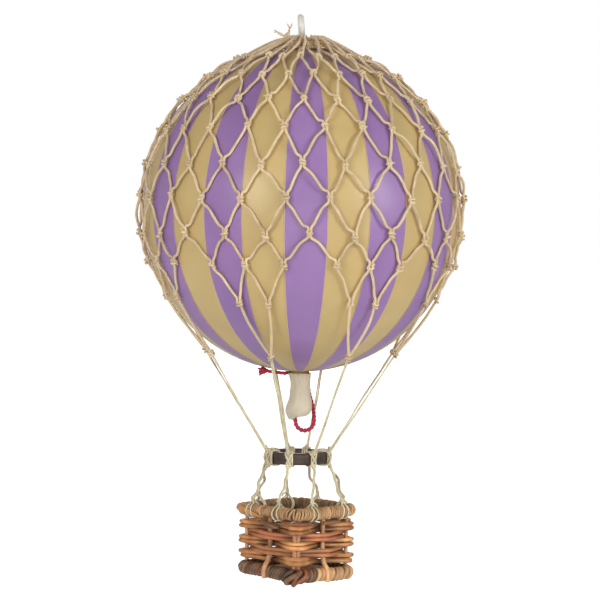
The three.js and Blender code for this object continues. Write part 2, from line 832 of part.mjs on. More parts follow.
const floorShape = new THREE.Shape();
for (let i = 0; i < FLOOR_POINTS; i += 1) {
  const { at } = roundedSquare(i / FLOOR_POINTS + 1, FLOOR_HALF, FLOOR_CORNER);
  if (i === 0) {
    floorShape.moveTo(at.x, at.y);
  } else {
    floorShape.lineTo(at.x, at.y);
  }
}
const floor = new THREE.ExtrudeGeometry(floorShape, { depth: FLOOR_THICKNESS, bevelEnabled: false });
floor.translate(0, 0, FLOOR_TOP_Z - FLOOR_THICKNESS);
place('basket_floor', floor, COLOURS.cane, basket);

export default root;
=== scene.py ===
"""Looks of the hanging balloon model: a striped ball in a knotted net, a load ring and a wicker basket.

Shapes are worked out in millimetres from a level just above the ball's middle, +Z up and front at -Y,
and placed in the row frame, in metres, when a piece is made.
"""
import random
from functools import partial
from math import acos, ceil, copysign, cos, degrees, exp, pi, radians, sin, sqrt

import bpy
import numpy as np
from mathutils import Matrix, Vector, noise


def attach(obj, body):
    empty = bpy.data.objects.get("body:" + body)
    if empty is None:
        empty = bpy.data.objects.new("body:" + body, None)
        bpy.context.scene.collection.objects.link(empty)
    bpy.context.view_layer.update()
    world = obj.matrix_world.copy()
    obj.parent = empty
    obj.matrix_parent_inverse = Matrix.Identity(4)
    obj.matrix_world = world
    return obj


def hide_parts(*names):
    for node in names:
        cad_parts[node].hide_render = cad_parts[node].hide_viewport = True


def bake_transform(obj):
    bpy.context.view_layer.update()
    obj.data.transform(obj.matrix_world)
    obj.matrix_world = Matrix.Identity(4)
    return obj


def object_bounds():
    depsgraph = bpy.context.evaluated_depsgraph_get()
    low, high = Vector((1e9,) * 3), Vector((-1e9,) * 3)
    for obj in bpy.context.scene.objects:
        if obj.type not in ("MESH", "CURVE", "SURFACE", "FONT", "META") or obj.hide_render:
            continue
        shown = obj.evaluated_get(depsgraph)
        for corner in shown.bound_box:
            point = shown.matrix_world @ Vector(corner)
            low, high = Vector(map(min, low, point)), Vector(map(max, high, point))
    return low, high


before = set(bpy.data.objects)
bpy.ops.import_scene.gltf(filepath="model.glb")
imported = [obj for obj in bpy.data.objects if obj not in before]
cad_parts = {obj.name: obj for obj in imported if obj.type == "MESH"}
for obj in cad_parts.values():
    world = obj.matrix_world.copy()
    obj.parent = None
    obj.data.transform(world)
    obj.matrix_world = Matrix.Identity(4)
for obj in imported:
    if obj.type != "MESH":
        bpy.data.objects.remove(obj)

CAD_BOX = [list(corner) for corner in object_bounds()]

TAU = 2 * pi
MM = 0.001
UP = np.array((0, 0, 1.0))

# ---- Driving dimensions, in millimetres, as the frame has them ----

LEVEL_Z = -106.6
BALL_MIDDLE_Z = -2.5
BALL_RADIUS = 91.2
BALL_HALF_HEIGHT = 92.5
BALL_WALL = 1.5
SPIGOT_OUTER, SPIGOT_INNER, SPIGOT_END_Z = 4.6, 3.9, -98.1
CROWN_HOLE = 2.3
GORE_COUNT = 12
GORE_TURN = 1.7
GORE_LATITUDE = 84.5
GORE_LIFTS = (0.06, 0.22)
GORE_SEAM = 0.30

EYE_BAR_RADIUS = 1.9
EYE_LOOP_RADIUS = 5.1
EYE_LOOP_Z = 103.4
EYE_LEAN, EYE_LEAN_FROM_Z = 0.085, 84.5
EYE_SIDES = 40
EYE_STEM_PROFILE = [
    (0.05, 82.3), (2.9, 82.3), (3.2, 82.6), (3.4, 84.1), (2.2, 84.7), (1.9, 85.0), (1.9, 90.2),
    (4.3, 90.3), (4.6, 90.6), (4.6, 91.1), (4.2, 91.5), (2.6, 91.8), (2.1, 92.3), (1.9, 93.3),
    (1.9, 97.6), (0.05, 97.6),
]
WASHER_PROFILE = [
    (2.3, 86.3), (2.4, 86.2), (5.8, 86.2), (6.0, 86.4), (6.0, 87.5), (5.8, 87.7), (2.4, 87.7),
    (2.3, 87.6),
]

CORD = 1.7
RED_CORD_RADIUS = 1.3

NET_ROWS = [66, 53.3, 41, 29, 15.7, 4.2, -8, -18.4]
NET_COLUMNS = 24
NET_TURN = -9.4
NET_TWIST = 0.72
GROUP_COUNT = 8
GROUP_TURN = -19.4
GROUP_SPREAD = 13.0
PAIR_LATITUDE = -32.2
PAIR_SPREAD = 6.0
MERGE_RADIUS, MERGE_Z = 57.0, -84.0
NET_CORD_RADIUS = 0.88
CROWN_SHIFT = 1.2
# How far above the ball the knots, the cords beside a knot, the legs between and the crown's heap lie
KNOT_LIFT, BESIDE_KNOT_LIFT, LEG_LIFT, HEAP_LIFT, HEAP_DEPTH = 2.75, 2.4, 1.35, 1.45, 6.0
CORD_PITCH, LINE_PITCH, RED_CORD_PITCH = 4.2, 3.6, 4.6
NET_CORD_STEP = 0.75
CROWN_CORD_RADIUS, CROWN_CORD_Z = 9.6, 95.6
CROWN_CORD_TURNS = [(CROWN_CORD_RADIUS, CROWN_CORD_Z + 0.1), (10.2, 93.8), (11.3, 92.3), (12.6, 90.9)]
CROWN_KNOT = (-9.7, -1.0, 97.0)
# Each frayed end's line and its thickness as a share of the cord's
CROWN_CORD_ENDS = [
    ([CROWN_KNOT, (-11.5, -1.2, 97.9), (-13.6, -1.3, 98.9), (-15.3, -1.3, 99.9)], 1.0),
    ([(-15.2, -1.3, 99.9), (-16.2, -1.3, 100.6), (-17.2, -1.2, 100.8)], 0.55),
    ([(-15.2, -1.3, 99.8), (-16.3, -1.5, 100.0), (-17.0, -1.7, 99.7)], 0.5),
    ([CROWN_KNOT, (-8.9, -1.4, 99.2), (-8.3, -1.5, 101.9)], 0.85),
    ([(-8.3, -1.5, 101.6), (-8.8, -1.5, 103.2), (-9.6, -1.6, 104.6)], 0.55),
    ([(-8.3, -1.5, 101.6), (-7.5, -1.5, 103.2), (-6.9, -1.6, 105.0)], 0.55),
]

RING_Z = -144.7
RING_OUTER, RING_INNER, RING_HEIGHT = 17.6, 12.6, 6.9
LINE_AZIMUTHS = [-16, 29, 74, 106, 164, 196.8, 254, 299]
LINE_END_RADIUS = 20.6
LINE_STRAND = 0.47
HITCH_STRAND, HITCH_TURNS = 0.58, 3
# The two strands that cross on a hitch's face: where each starts and ends, across and up, and its lift
HITCH_CROSSES = [((-2.3, 3.9), (1.6, -4.4), 0.0), ((2.1, 3.7), (-1.5, -4.2), HITCH_STRAND * 1.1)]
UPPER_LINE_END_Z = -140.8
LOWER_LINE_TOP_Z = -149.2

SLEEVE_WALL, SLEEVE_SIDES = 0.6, 96
# The slanted mouth: how far the edge rises or falls, from the right side (-1) to the left (1)
SLEEVE_MOUTH = (-1, -0.85, -0.5, 0.35, 0.7, 1), (0.6, 0.2, -1.0, -1.7, -3.3, -3.0)
# How far the sleeve hangs to the right, by the share of its length
SLEEVE_SHIFT = (0, 0.2, 0.5, 1), (0.3, 1.0, 1.0, 0.8)
SLEEVE_PROFILE = [
    (6.4, -96.25), (6.2, -97.2), (5.95, -99.6), (5.75, -103), (5.9, -107.5), (6.5, -111.5), (7.0, -115),
    (6.8, -118), (6.2, -119.8),
]
TIE_RADIUS, TIE_Z = 8.05, -96.5
TIE_TAIL = [(-23.0, -2.1, -95.0), (-19.5, -2.3, -94.9), (-16, -1.9, -95.6), (-12, -1.3, -96.0)]
PULL_CORD_ROUTE = [
    (5.6, 6.2, -100.2), (5.5, 6.1, -104), (6.4, 5.4, -109), (7.9, 4.1, -114), (8.9, 2.6, -119),
    (9.2, 1.1, -124), (8.4, 0.2, -126.8), (6.4, -0.6, -128.7), (3.8, -1.2, -129.4), (1.2, -1.6, -128.7),
    (-0.8, -1.7, -126.8), (-1.6, -1.6, -124), (-1.7, -1.2, -118.5), (-1.6, -0.6, -111.6),
]

BASKET_TURN = 45.0
TOP_RIM_HALF, BOTTOM_RIM_HALF, RIM_CORNER = 23.1, 22.4, 4.7
TOP_RIM_RADIUS, TOP_RIM_Z = 3.7, -175.0
BOTTOM_RIM_RADIUS, BOTTOM_RIM_Z = 4.1, -210.0
WEAVE_HALF, WEAVE_CORNER = 21.2, 3.2
OUTER_WEAVER_LEVELS = [-184, -192.85, -201.7]
INNER_WEAVER_LEVELS = [-188.42, -197.27]
OUTER_WEAVER_CORNER, INNER_WEAVER_CORNER = 0.8, 4
STRAND_APART, STAKE_CANE_RADIUS, POST_CANE_RADIUS = 1.34, 1.4, 1.15
# Loose ends of cane under the top rim: turn round the basket, height, half length and hue
LOOSE_CANES = [(0.0, -180.4, 9.0, 0.6), (0.155, -180.9, 6.5, 0.5), (0.5, -180.8, 6.0, 0.3),
               (0.30, -180.8, 7.5, 0.4), (0.62, -180.7, 8.0, 0.5)]
CANE_SIDES, CANE_STEP = 10, 0.9
WEAVER_STEPS, WEAVER_OVERLAP = 132, 0.05
SPLIT_CANE_SECTION = [(-0.5, 0), (-0.42, 0.8), (0, 1), (0.42, 0.8), (0.5, 0), (0.42, -0.2), (-0.42, -0.2)]
TOP_WRAP, BOTTOM_WRAP, BOTTOM_WRAP_YELLOW, BOTTOM_WRAP_CORNER = 1.35, 2.0, 3.3, 2.6
FLOOR_HALF, FLOOR_TOP_Z, FLOOR_THICKNESS, FLOOR_SLATS = 17.4, -209.0, 2.0, 12
# Where each lower line is tied: side of the basket, then share of that side's length
RIM_TIES = [(3, 0.7), (0, 0.25), (0, 0.78), (1, 0.2), (1, 0.65), (2, 0.16), (2, 0.66), (3, 0.24)]

ROUGHNESS_SPREAD = 0.1

CAMERA_DISTANCE = 1.5
CAMERA_AIM_BELOW_CENTRE = 54.0
CAMERA_LENS = 156.0
CAMERA_ROLL = 0.85
LIGHT_FROM_BELOW, LIGHT_FROM_ABOVE = 0.72, 0.21
# Name, place, width, power and how far it shows in gloss
LAMPS = [
    ("key_right", (1.75, -1.25, 0.30), 0.8, 18, 1),
    ("key_left", (-1.2, -1.75, 0.35), 0.8, 15.5, 1),
    ("front", (0.3, -2.4, -0.2), 1.4, 7, 1),
    ("back", (-0.3, 2.4, 0.1), 1.6, 9, 0),
]
STAGE_REACH, STAGE_BELOW, STAGE_SIDES = 9.0, 0.03, 48
FLOOR_GLOW, FLOOR_COLOUR = 0.85, (0.86, 0.86, 0.86, 1)

chance = random.Random(24)
vary = chance.uniform
looks = {}


# ---- Geometry helpers ----

def around(radius, azimuth, z):
    """A point at an azimuth in degrees counted from the front (-Y) towards +X."""
    a = radians(azimuth)
    return np.array((radius * sin(a), -radius * cos(a), z))


def on_ball(latitude, azimuth, lift=0.0):
    a = radians(latitude)
    z = BALL_MIDDLE_Z + (BALL_HALF_HEIGHT + lift) * sin(a)
    return around((BALL_RADIUS + lift) * cos(a), azimuth, z)


def unit(v):
    return v / max(np.linalg.norm(v), 1e-9)


def wave(seed, s):
    """A smooth random number from -1 to 1 that changes along s."""
    return noise.noise(Vector((seed * 7.31, s, seed * 1.7))) * 1.6


def spline(points, step, closed=False):
    """A smooth line through the points, with a point about every step millimetres."""
    p = [np.asarray(q, float) for q in points]
    count = len(p)
    if closed:
        p = [p[-1]] + p + p[:2]
    else:
        p = [2 * p[0] - p[1]] + p + [2 * p[-1] - p[-2]]
    line = []
    for i in range(count if closed else count - 1):
        a, b, c, d = p[i:i + 4]
        pieces = max(1, int(ceil(np.linalg.norm(c - b) / step)))
        for k in range(pieces):
            t = k / pieces
            line.append(0.5 * (2 * b + (c - a) * t + (2 * a - 5 * b + 4 * c - d) * t ** 2
                               + (3 * b - a - 3 * c + d) * t ** 3))
    if not closed:
        line.append(p[-2])
    return np.array(line)


def lengths(line):
    return np.concatenate([[0.0], np.cumsum(np.linalg.norm(np.diff(line, axis=0), axis=1))])


def new_object(name, data):
    thing = bpy.data.objects.new(name, data)
    bpy.context.scene.collection.objects.link(thing)
    return thing


class Shape:
    """Gathers parts of one mesh, with a tint and a hue on every point."""

    def __init__(self):
        self.points, self.faces, self.tints, self.hues, self.slots = [], [], [], [], []
        self.count = 0

    def add(self, points, faces, tint=0.5, hue=0.5, slot=0):
        self.points.append(np.asarray(points, float))
        self.faces.extend([tuple(i + self.count for i in face) for face in faces])
        self.slots.extend([slot] * len(faces))
        size = len(points)
        self.tints.append(np.broadcast_to(np.asarray(tint, float), size))
        self.hues.append(np.broadcast_to(np.asarray(hue, float), size))
        self.count += size

    def join(self, ring, further, slot=0):
        """Faces from a closed ring of points to the points that lie further on by a fixed count."""
        walls = [(a, b, b + further, a + further) for a, b in zip(ring, ring[1:] + ring[:1])]
        self.faces += walls
        self.slots += [slot] * len(walls)

    def piece(self, name, surfaces):
        mesh = bpy.data.meshes.new(name)
        points = np.concatenate(self.points) * MM
        points[:, 2] += LEVEL_Z * MM
        mesh.from_pydata(points.tolist(), [], self.faces)
        for label, values in (("tint", self.tints), ("hue", self.hues)):
            attribute = mesh.attributes.new(label, "FLOAT", "POINT")
            attribute.data.foreach_set("value", np.concatenate(values).astype(np.float32))
        for look in surfaces:
            mesh.materials.append(looks[look])
        mesh.polygons.foreach_set("material_index", self.slots)
        mesh.polygons.foreach_set("use_smooth", [True] * len(mesh.polygons))
        mesh.update()
        return new_object(name, mesh)

    def stand_in(self, name, surfaces, node, body):
        """The piece shown in place of a CAD node, on that node's body."""
        thing = self.piece(name, surfaces)
        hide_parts(node)
        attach(thing, body)
        return thing

    def stand_between(self, name, surface, node):
        """The piece shown in place of a CAD node that runs from one body to another between two heights."""
        thing = self.piece(name, [surface])
        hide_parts(node)
        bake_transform(thing)


def grid_faces(rows, columns, wrap_rows=False, wrap_columns=True):
    faces = []
    for i in range(rows if wrap_rows else rows - 1):
        for k in range(columns if wrap_columns else columns - 1):
            a, b = i * columns + k, i * columns + (k + 1) % columns
            c, d = ((i + 1) % rows) * columns + (k + 1) % columns, ((i + 1) % rows) * columns + k
            faces.append((a, b, c, d))
    return faces


def frames(line, closed=False, up=None):
    """Two directions across the line at each of its points, without needless twist."""
    count = len(line)
    ahead = np.roll(line, -1, axis=0) - np.roll(line, 1, axis=0)
    if not closed:
        ahead[0], ahead[-1] = line[1] - line[0], line[-1] - line[-2]
    ahead /= np.maximum(np.linalg.norm(ahead, axis=1), 1e-9)[:, None]
    first = np.array(up if up is not None else (0.31, 0.17, 0.93))
    across = np.empty_like(line)
    side = unit(np.cross(ahead[0], first))
    for i in range(count):
        if up is not None:
            side = np.cross(ahead[i], first)
        side = unit(side - ahead[i] * side.dot(ahead[i]))
        across[i] = side
    return across, np.cross(ahead, across)


def tube(line, radius, sides=8, closed=False, plies=0, pitch=4.5, depth=0.24, flat=1.0, up=None,
         taper=0.0):
    """A closed tube along a line; with plies, its section is lobed and turns, as twisted cord does."""
    across, out = frames(line, closed, up)
    run = lengths(line)
    angle = np.arange(sides) / sides * TAU
    radii = np.broadcast_to(np.asarray(radius, float), len(line))
    turn = TAU * run / pitch if plies else np.zeros(len(line))
    if closed and plies:
        whole = run[-1] + np.linalg.norm(line[0] - line[-1])
        turn = TAU * run / whole * max(1, round(whole / pitch * plies)) / plies
    lobes = np.ones((len(line), sides))
    if plies:
        lobes = 1 - depth * (0.5 - 0.5 * np.cos(plies * (angle[None, :] - turn[:, None])))
    reach = radii[:, None] * lobes
    if taper and not closed:
        near_end = np.minimum(run, run[-1] - run)
        reach = reach * np.sqrt(np.clip(near_end / taper, 0.08, 1))[:, None]
    points = (line[:, None, :] + across[:, None, :] * (np.cos(angle) * reach)[:, :, None]
              + out[:, None, :] * (np.sin(angle) * reach)[:, :, None] * flat)
    rows = len(line)
    faces = grid_faces(rows, sides, wrap_rows=closed)
    if not closed:
        faces.append(tuple(range(sides))[::-1])
        faces.append(tuple((rows - 1) * sides + k for k in range(sides)))
    return points.reshape(-1, 3), faces


def rope(shape, points, radius=CORD / 2, step=0.8, closed=False, plies=3, pitch=4.4, tint=None,
         sides=9, **more):
    """A twisted cord along a smooth line through the points."""
    line = spline(points, step, closed)
    value = vary(0.3, 0.8) if tint is None else tint
    shape.add(*tube(line, radius, sides, closed, plies, pitch, **more), tint=value, hue=vary(0, 0.6))
    return line


def lathe(profile, segments, start=0.0, closed=True):
    """A body turned round the Z axis from (radius, z) points."""
    rows = np.array([[around(r, start + 360 * k / segments, z) for k in range(segments)]
                     for r, z in profile])
    faces = grid_faces(len(profile), segments, wrap_rows=closed)
    return rows.reshape(-1, 3), faces


def rounded_square(turn, half, corner):
    """Point and outward direction on a rounded square; its corners lie at whole quarters of turn."""
    straight = half - corner
    arc = pi / 4 * corner
    quarter = round(turn * 4)
    along = (turn * 4 - quarter) * 2 * (straight + arc)
    bend = max(-arc, min(arc, along)) / corner
    run = along - max(-arc, min(arc, along))
    facing = radians(quarter * 90 - 135 + BASKET_TURN)
    out = np.array((cos(facing + bend), sin(facing + bend), 0.0))
    ahead = np.array((-out[1], out[0], 0.0))
    centre = np.array((cos(facing), sin(facing), 0.0)) * straight * sqrt(2)
    return centre + out * corner + ahead * run, out


def rim_point(side, share):
    """Centre of the top rim's roll at a share of one side's length, the way along it and the way out."""
    turn = radians(BASKET_TURN)
    corners = [(-1, -1), (1, -1), (1, 1), (-1, 1)]
    a, b = np.array(corners[side], float), np.array(corners[(side + 1) % 4], float)
    flat = (a + (b - a) * share) * TOP_RIM_HALF
    along = unit(b - a)
    spin = np.array(((cos(turn), -sin(turn)), (sin(turn), cos(turn))))
    x, y = spin @ flat
    ax, ay = spin @ along
    return np.array((x, y, TOP_RIM_Z)), np.array((ax, ay, 0.0)), np.array((ay, -ax, 0.0))


# ---- Materials ----

def add_node(tree, kind, **values):
    made = tree.nodes.new("ShaderNode" + kind)
    for socket, value in values.items():
        made.inputs[socket.replace("_", " ")].default_value = value
    return made


def surface(name, colours, roughness, size, stretch=(1, 1, 1), fine=60.0, bump=0.2, tint=0.0,
            hue_colour=None, sheen=0.0, specular=0.5, coat=0.0):
    """A procedural material: mottled colour, tint by strand, uneven roughness and a fine bump."""
    material = bpy.data.materials.new(name)
    material.use_nodes = True
    tree = material.node_tree
    link, node = tree.links.new, partial(add_node, tree)
    shader = tree.nodes["Principled BSDF"]

    def on_points(label):
        made = node("Attribute")
        made.attribute_name = label
        return made.outputs["Fac"]

    scale = node("Mapping", Scale=stretch)
    link(node("TexCoord").outputs["Object"], scale.inputs["Vector"])

    def cloud(amount, detail):
        texture = node("TexNoise", Scale=amount, Detail=detail)
        link(scale.outputs["Vector"], texture.inputs["Vector"])
        return texture.outputs["Fac"]

    ramp = node("ValToRGB")
    for element, place, colour in zip(ramp.color_ramp.elements, (0.32, 0.68), colours):
        element.position = place
        element.color = (*colour, 1)
    link(cloud(size, 4), ramp.inputs["Fac"])
    colour = ramp.outputs["Color"]
    if hue_colour:
        blend = node("Mix")
        blend.data_type = "RGBA"
        link(on_points("hue"), blend.inputs["Factor"])
        link(colour, blend.inputs[6])
        blend.inputs[7].default_value = (*hue_colour, 1)
        colour = blend.outputs[2]
    if tint:
        bright = node("MapRange", To_Min=1 - tint, To_Max=1 + tint)
        link(on_points("tint"), bright.inputs["Value"])
        times = node("VectorMath")
        times.operation = "SCALE"
        link(colour, times.inputs[0])
        link(bright.outputs["Result"], times.inputs["Scale"])
        colour = times.outputs["Vector"]
    link(colour, shader.inputs["Base Color"])
    spread = node("MapRange", To_Min=max(0.02, roughness - ROUGHNESS_SPREAD),
                  To_Max=min(1.0, roughness + ROUGHNESS_SPREAD))
    link(cloud(size * 2.3, 2), spread.inputs["Value"])
    link(spread.outputs["Result"], shader.inputs["Roughness"])
    relief = node("Bump", Strength=bump, Distance=0.0002)
    link(cloud(fine * 40, 3), relief.inputs["Height"])
    link(relief.outputs["Normal"], shader.inputs["Normal"])
    for socket, value in (("Sheen Weight", sheen), ("Sheen Roughness", 0.5), ("Specular IOR Level", specular),
                          ("Coat Weight", coat), ("Coat Roughness", 0.25)):
        shader.inputs[socket].default_value = value
    return material


def make_materials():
    return {
        "gold": surface("gold_gore", [(0.58, 0.415, 0.165), (0.68, 0.50, 0.215)], 0.40, 22, bump=0.06,
                        fine=10, specular=0.45, coat=0.15),
        "lavender": surface("lavender_gore", [(0.315, 0.175, 0.42), (0.375, 0.215, 0.48)], 0.40, 24,
                            bump=0.06, fine=10, specular=0.45, coat=0.15),
        "seam": surface("seam_edge", [(0.60, 0.43, 0.30), (0.70, 0.53, 0.40)], 0.6, 90, bump=0.1),
        "cord": surface("net_cord", [(0.62, 0.44, 0.26), (0.86, 0.67, 0.45)], 0.85, 150, bump=0.5,
                        tint=0.22, sheen=0.2, fine=90, hue_colour=(0.80, 0.66, 0.36)),
        "line": surface("line_cord", [(0.61, 0.53, 0.33), (0.84, 0.76, 0.53)], 0.85, 150, bump=0.4,
                        tint=0.15, sheen=0.2, fine=90),
        "white": surface("white_plastic", [(0.72, 0.70, 0.62), (0.82, 0.80, 0.73)], 0.35, 60, bump=0.05),
        "sleeve": surface("ivory_sleeve", [(0.57, 0.49, 0.35), (0.72, 0.64, 0.49)], 0.6, 50, bump=0.35,
                          sheen=0.1, fine=60),
        "red": surface("red_cord", [(0.36, 0.010, 0.034), (0.66, 0.026, 0.075)], 0.7, 200, bump=0.5,
                       tint=0.3, sheen=0.3, fine=90),
        "ring": surface("dark_ring", [(0.036, 0.019, 0.012), (0.095, 0.052, 0.036)], 0.36, 60,
                        stretch=(1, 1, 5), bump=0.25, coat=0.15, fine=40),
        "rim": surface("rim_cane", [(0.24, 0.120, 0.060), (0.48, 0.285, 0.155)], 0.5, 130, bump=0.6,
                       tint=0.8, hue_colour=(0.60, 0.36, 0.16), fine=70),
        "orange": surface("orange_cane", [(0.42, 0.155, 0.050), (0.76, 0.38, 0.135)], 0.36, 120,
                          bump=0.6, tint=0.62, hue_colour=(0.22, 0.075, 0.040), fine=70, coat=0.15),
        "brown": surface("brown_cane", [(0.30, 0.080, 0.036), (0.56, 0.195, 0.085)], 0.40, 120,
                         bump=0.6, tint=0.62, hue_colour=(0.60, 0.30, 0.10), fine=70, coat=0.15),
        "tan": surface("tan_cane", [(0.44, 0.20, 0.095), (0.76, 0.43, 0.21)], 0.42, 110, bump=0.6, tint=0.5,
                       fine=70),
        "pith": surface("cut_cane", [(0.45, 0.27, 0.12), (0.62, 0.42, 0.22)], 0.8, 300, bump=0.4),
    }


# ---- Camera, light and stage ----

def add_camera():
    data = bpy.data.cameras.new("camera")
    data.lens = CAMERA_LENS
    data.sensor_width = 36
    data.clip_end = 50
    camera = new_object("camera", data)
    eye = Vector((0, -CAMERA_DISTANCE, LEVEL_Z * MM))
    aim = Vector((0, 0, (LEVEL_Z - CAMERA_AIM_BELOW_CENTRE) * MM))
    turn = (aim - eye).to_track_quat("-Z", "Y").to_matrix().to_4x4()
    roll = Vector((0, 0, 1))
    camera.matrix_world = Matrix.Translation(eye) @ turn @ Matrix.Rotation(radians(CAMERA_ROLL), 4, roll)
    bpy.context.scene.camera = camera


def add_lamp(name, place, size, power, shine):
    data = bpy.data.lights.new(name, "AREA")
    data.shape = "DISK"
    data.size = size
    data.energy = power
    data.specular_factor = shine
    lamp = new_object(name, data)
    lamp.location = place
    aim = Vector((0, 0, LEVEL_Z * MM)) - Vector(place)
    lamp.rotation_euler = aim.to_track_quat("-Z", "Y").to_euler()


def put_on_stage(name, points, faces, material):
    """A surface round the object that gives it no light of its own colour and no reflection."""
    mesh = bpy.data.meshes.new(name)
    mesh.from_pydata(points, [], faces)
    mesh.materials.append(material)
    thing = new_object(name, mesh)
    thing.visible_diffuse = False
    thing.visible_glossy = False
    return thing


def add_stage():
    scene = bpy.context.scene
    scene.view_settings.view_transform = "Standard"
    world = bpy.data.worlds.new("studio")
    world.use_nodes = True
    tree = world.node_tree
    background = tree.nodes["Background"]
    background.inputs["Color"].default_value = (1, 1, 1, 1)
    height = add_node(tree, "SeparateXYZ")
    strength = add_node(tree, "MapRange", From_Min=-1, To_Min=LIGHT_FROM_BELOW, To_Max=LIGHT_FROM_ABOVE)
    tree.links.new(add_node(tree, "TexCoord").outputs["Generated"], height.inputs["Vector"])
    tree.links.new(height.outputs["Z"], strength.inputs["Value"])
    tree.links.new(strength.outputs["Result"], background.inputs["Strength"])
    scene.world = world

    floor = bpy.data.materials.new("stage_floor")
    floor.use_nodes = True
    shader = floor.node_tree.nodes["Principled BSDF"]
    for socket, value in (("Base Color", FLOOR_COLOUR), ("Roughness", 0.9), ("Emission Color", (1, 1, 1, 1)),
                          ("Emission Strength", FLOOR_GLOW)):
        shader.inputs[socket].default_value = value
    reach, below = STAGE_REACH, CAD_BOX[0][2] - STAGE_BELOW
    disc = [(reach * sin(k / STAGE_SIDES * TAU), reach * cos(k / STAGE_SIDES * TAU), below)
            for k in range(STAGE_SIDES)]
    put_on_stage("stage_floor", disc, [tuple(range(STAGE_SIDES))[::-1]], floor)

    glow = bpy.data.materials.new("stage_backdrop")
    glow.use_nodes = True
    tree = glow.node_tree
    tree.nodes.clear()
    white = add_node(tree, "Emission", Strength=1.0)
    tree.links.new(white.outputs["Emission"], add_node(tree, "OutputMaterial").inputs["Surface"])
    rows, columns = 13, STAGE_SIDES
    dome = []
    for i in range(rows):
        height = pi / 2 * i / (rows - 1)
        for k in range(columns):
            a = k / columns * TAU
            dome.append((reach * cos(height) * sin(a), reach * cos(height) * cos(a),
                         below + reach * sin(height)))
    backdrop = put_on_stage("stage_backdrop", dome, grid_faces(rows, columns), glow)
    backdrop.visible_shadow = False
    backdrop.visible_transmission = False

    for lamp in LAMPS:
        add_lamp(*lamp)


# ---- Red cords ----

def frayed_end(shape, at, way, count, length, radius, spread, tint=0.5):
    """Loose fibres that fan out past a cord's end."""
    helper = unit(np.cross(way, (0.2, 0.9, 0.3)))
    other = np.cross(unit(way), helper)
    for i in range(count):
        a = i / count * TAU + vary(-0.4, 0.4)
        fan = (helper * cos(a) + other * sin(a)) * spread * vary(0.4, 1.1)
        reach = length * vary(0.7, 1.15)
        line = [at - unit(way) * 0.6, at + unit(way) * reach * 0.4 + fan * 0.3, at + unit(way) * reach + fan]
        rope(shape, line, radius, step=0.6, plies=0, sides=5, tint=tint, taper=0.6)


def knot(shape, at, across, up, size=1.0, cord=CORD / 2, tint=None):
    """A small overhand knot: one cord wound over itself, like a flattened trefoil."""
    across, up = unit(across), unit(up)
    out = unit(np.cross(across, up))
    big, small = 1.4 * cord * size, 0.85 * cord * size
    lean = vary(0, TAU / 3)
    line = []
    for k in range(33):
        t = k / 33 * TAU
        ring = big + small * cos(3 * t)
        x, y = 0.85 * ring * cos(2 * t + lean), 1.25 * ring * sin(2 * t + lean)
        line.append(at + across * x + up * y + out * 0.85 * cord * sin(3 * t))
    rope(shape, line, cord, step=0.9, closed=True, pitch=5, tint=tint, sides=8)


def wrapped_knot(shape, at, across, up):
    """The knot of two cords that run on side by side: a third turn of cord drawn tight round both."""
    across, up = unit(across), unit(up)
    out = unit(np.cross(across, up))
    size = vary(0.92, 1.08)
    turns = chance.choice((1.2, 1.6, 1.9))
    hand = chance.choice((-1, 1))
    start = vary(0, TAU)
    rise = vary(1.5, 2.1)
    tilt = hand * vary(0.1, 0.65)
    line = []
    steps = int(turns * 12)
    for k in range(steps + 1):
        t = k / 12 * TAU
        x = 1.72 * CORD / 2 * size * cos(hand * t + start)
        y = (k / steps - 0.5) * turns * rise + tilt * x
        z = 1.62 * CORD / 2 * size * sin(hand * t + start)
        line.append(at + across * x + up * y + out * z)
    rope(shape, line, CORD / 2 * 0.92, step=0.9, pitch=5, sides=8, taper=1.0)
    if chance.random() < 0.2:
        way = across * chance.choice((-1, 1)) + out * 0.5 + up * vary(-0.6, 0.3)
        frayed_end(shape, at + unit(way) * 1.6, way, 3, vary(1.0, 1.6), 0.25, 0.4)


def add_red_cords():
    shape = Shape()
    line = rope(shape, PULL_CORD_ROUTE, RED_CORD_RADIUS * 1.03, step=0.35, plies=2, pitch=RED_CORD_PITCH,
                sides=16, depth=0.32, tint=0.5)
    pull = shape.stand_in("pull_cord_twisted", ["red"], "pull_cord", "neck")

    shape = Shape()
    behind = [around(TIE_RADIUS, 90 + angle, TIE_Z) for angle in range(186, 47, -12)]
    rope(shape, TIE_TAIL + behind, RED_CORD_RADIUS * 0.85, step=0.5, pitch=6.6, sides=12, tint=0.35)
    end = behind[-1]
    knot(shape, end, (1, -1, 0), (0, 0, 1.0), 0.68, 0.72, 0.5)
    for start, way, count in (((-18.6, -2.4, -94.9), (-1, -0.2, -0.12), 18),
                              ((-17.4, -2.3, -95.1), (-1, 0.1, 0.10), 12)):
        frayed_end(shape, np.array(start), np.array(way), count, 4.4, 0.62, 2.4, 0.55)
    shape.stand_in("neck_tie_knotted", ["red"], "neck_tie", "envelope")


# ---- Ball ----

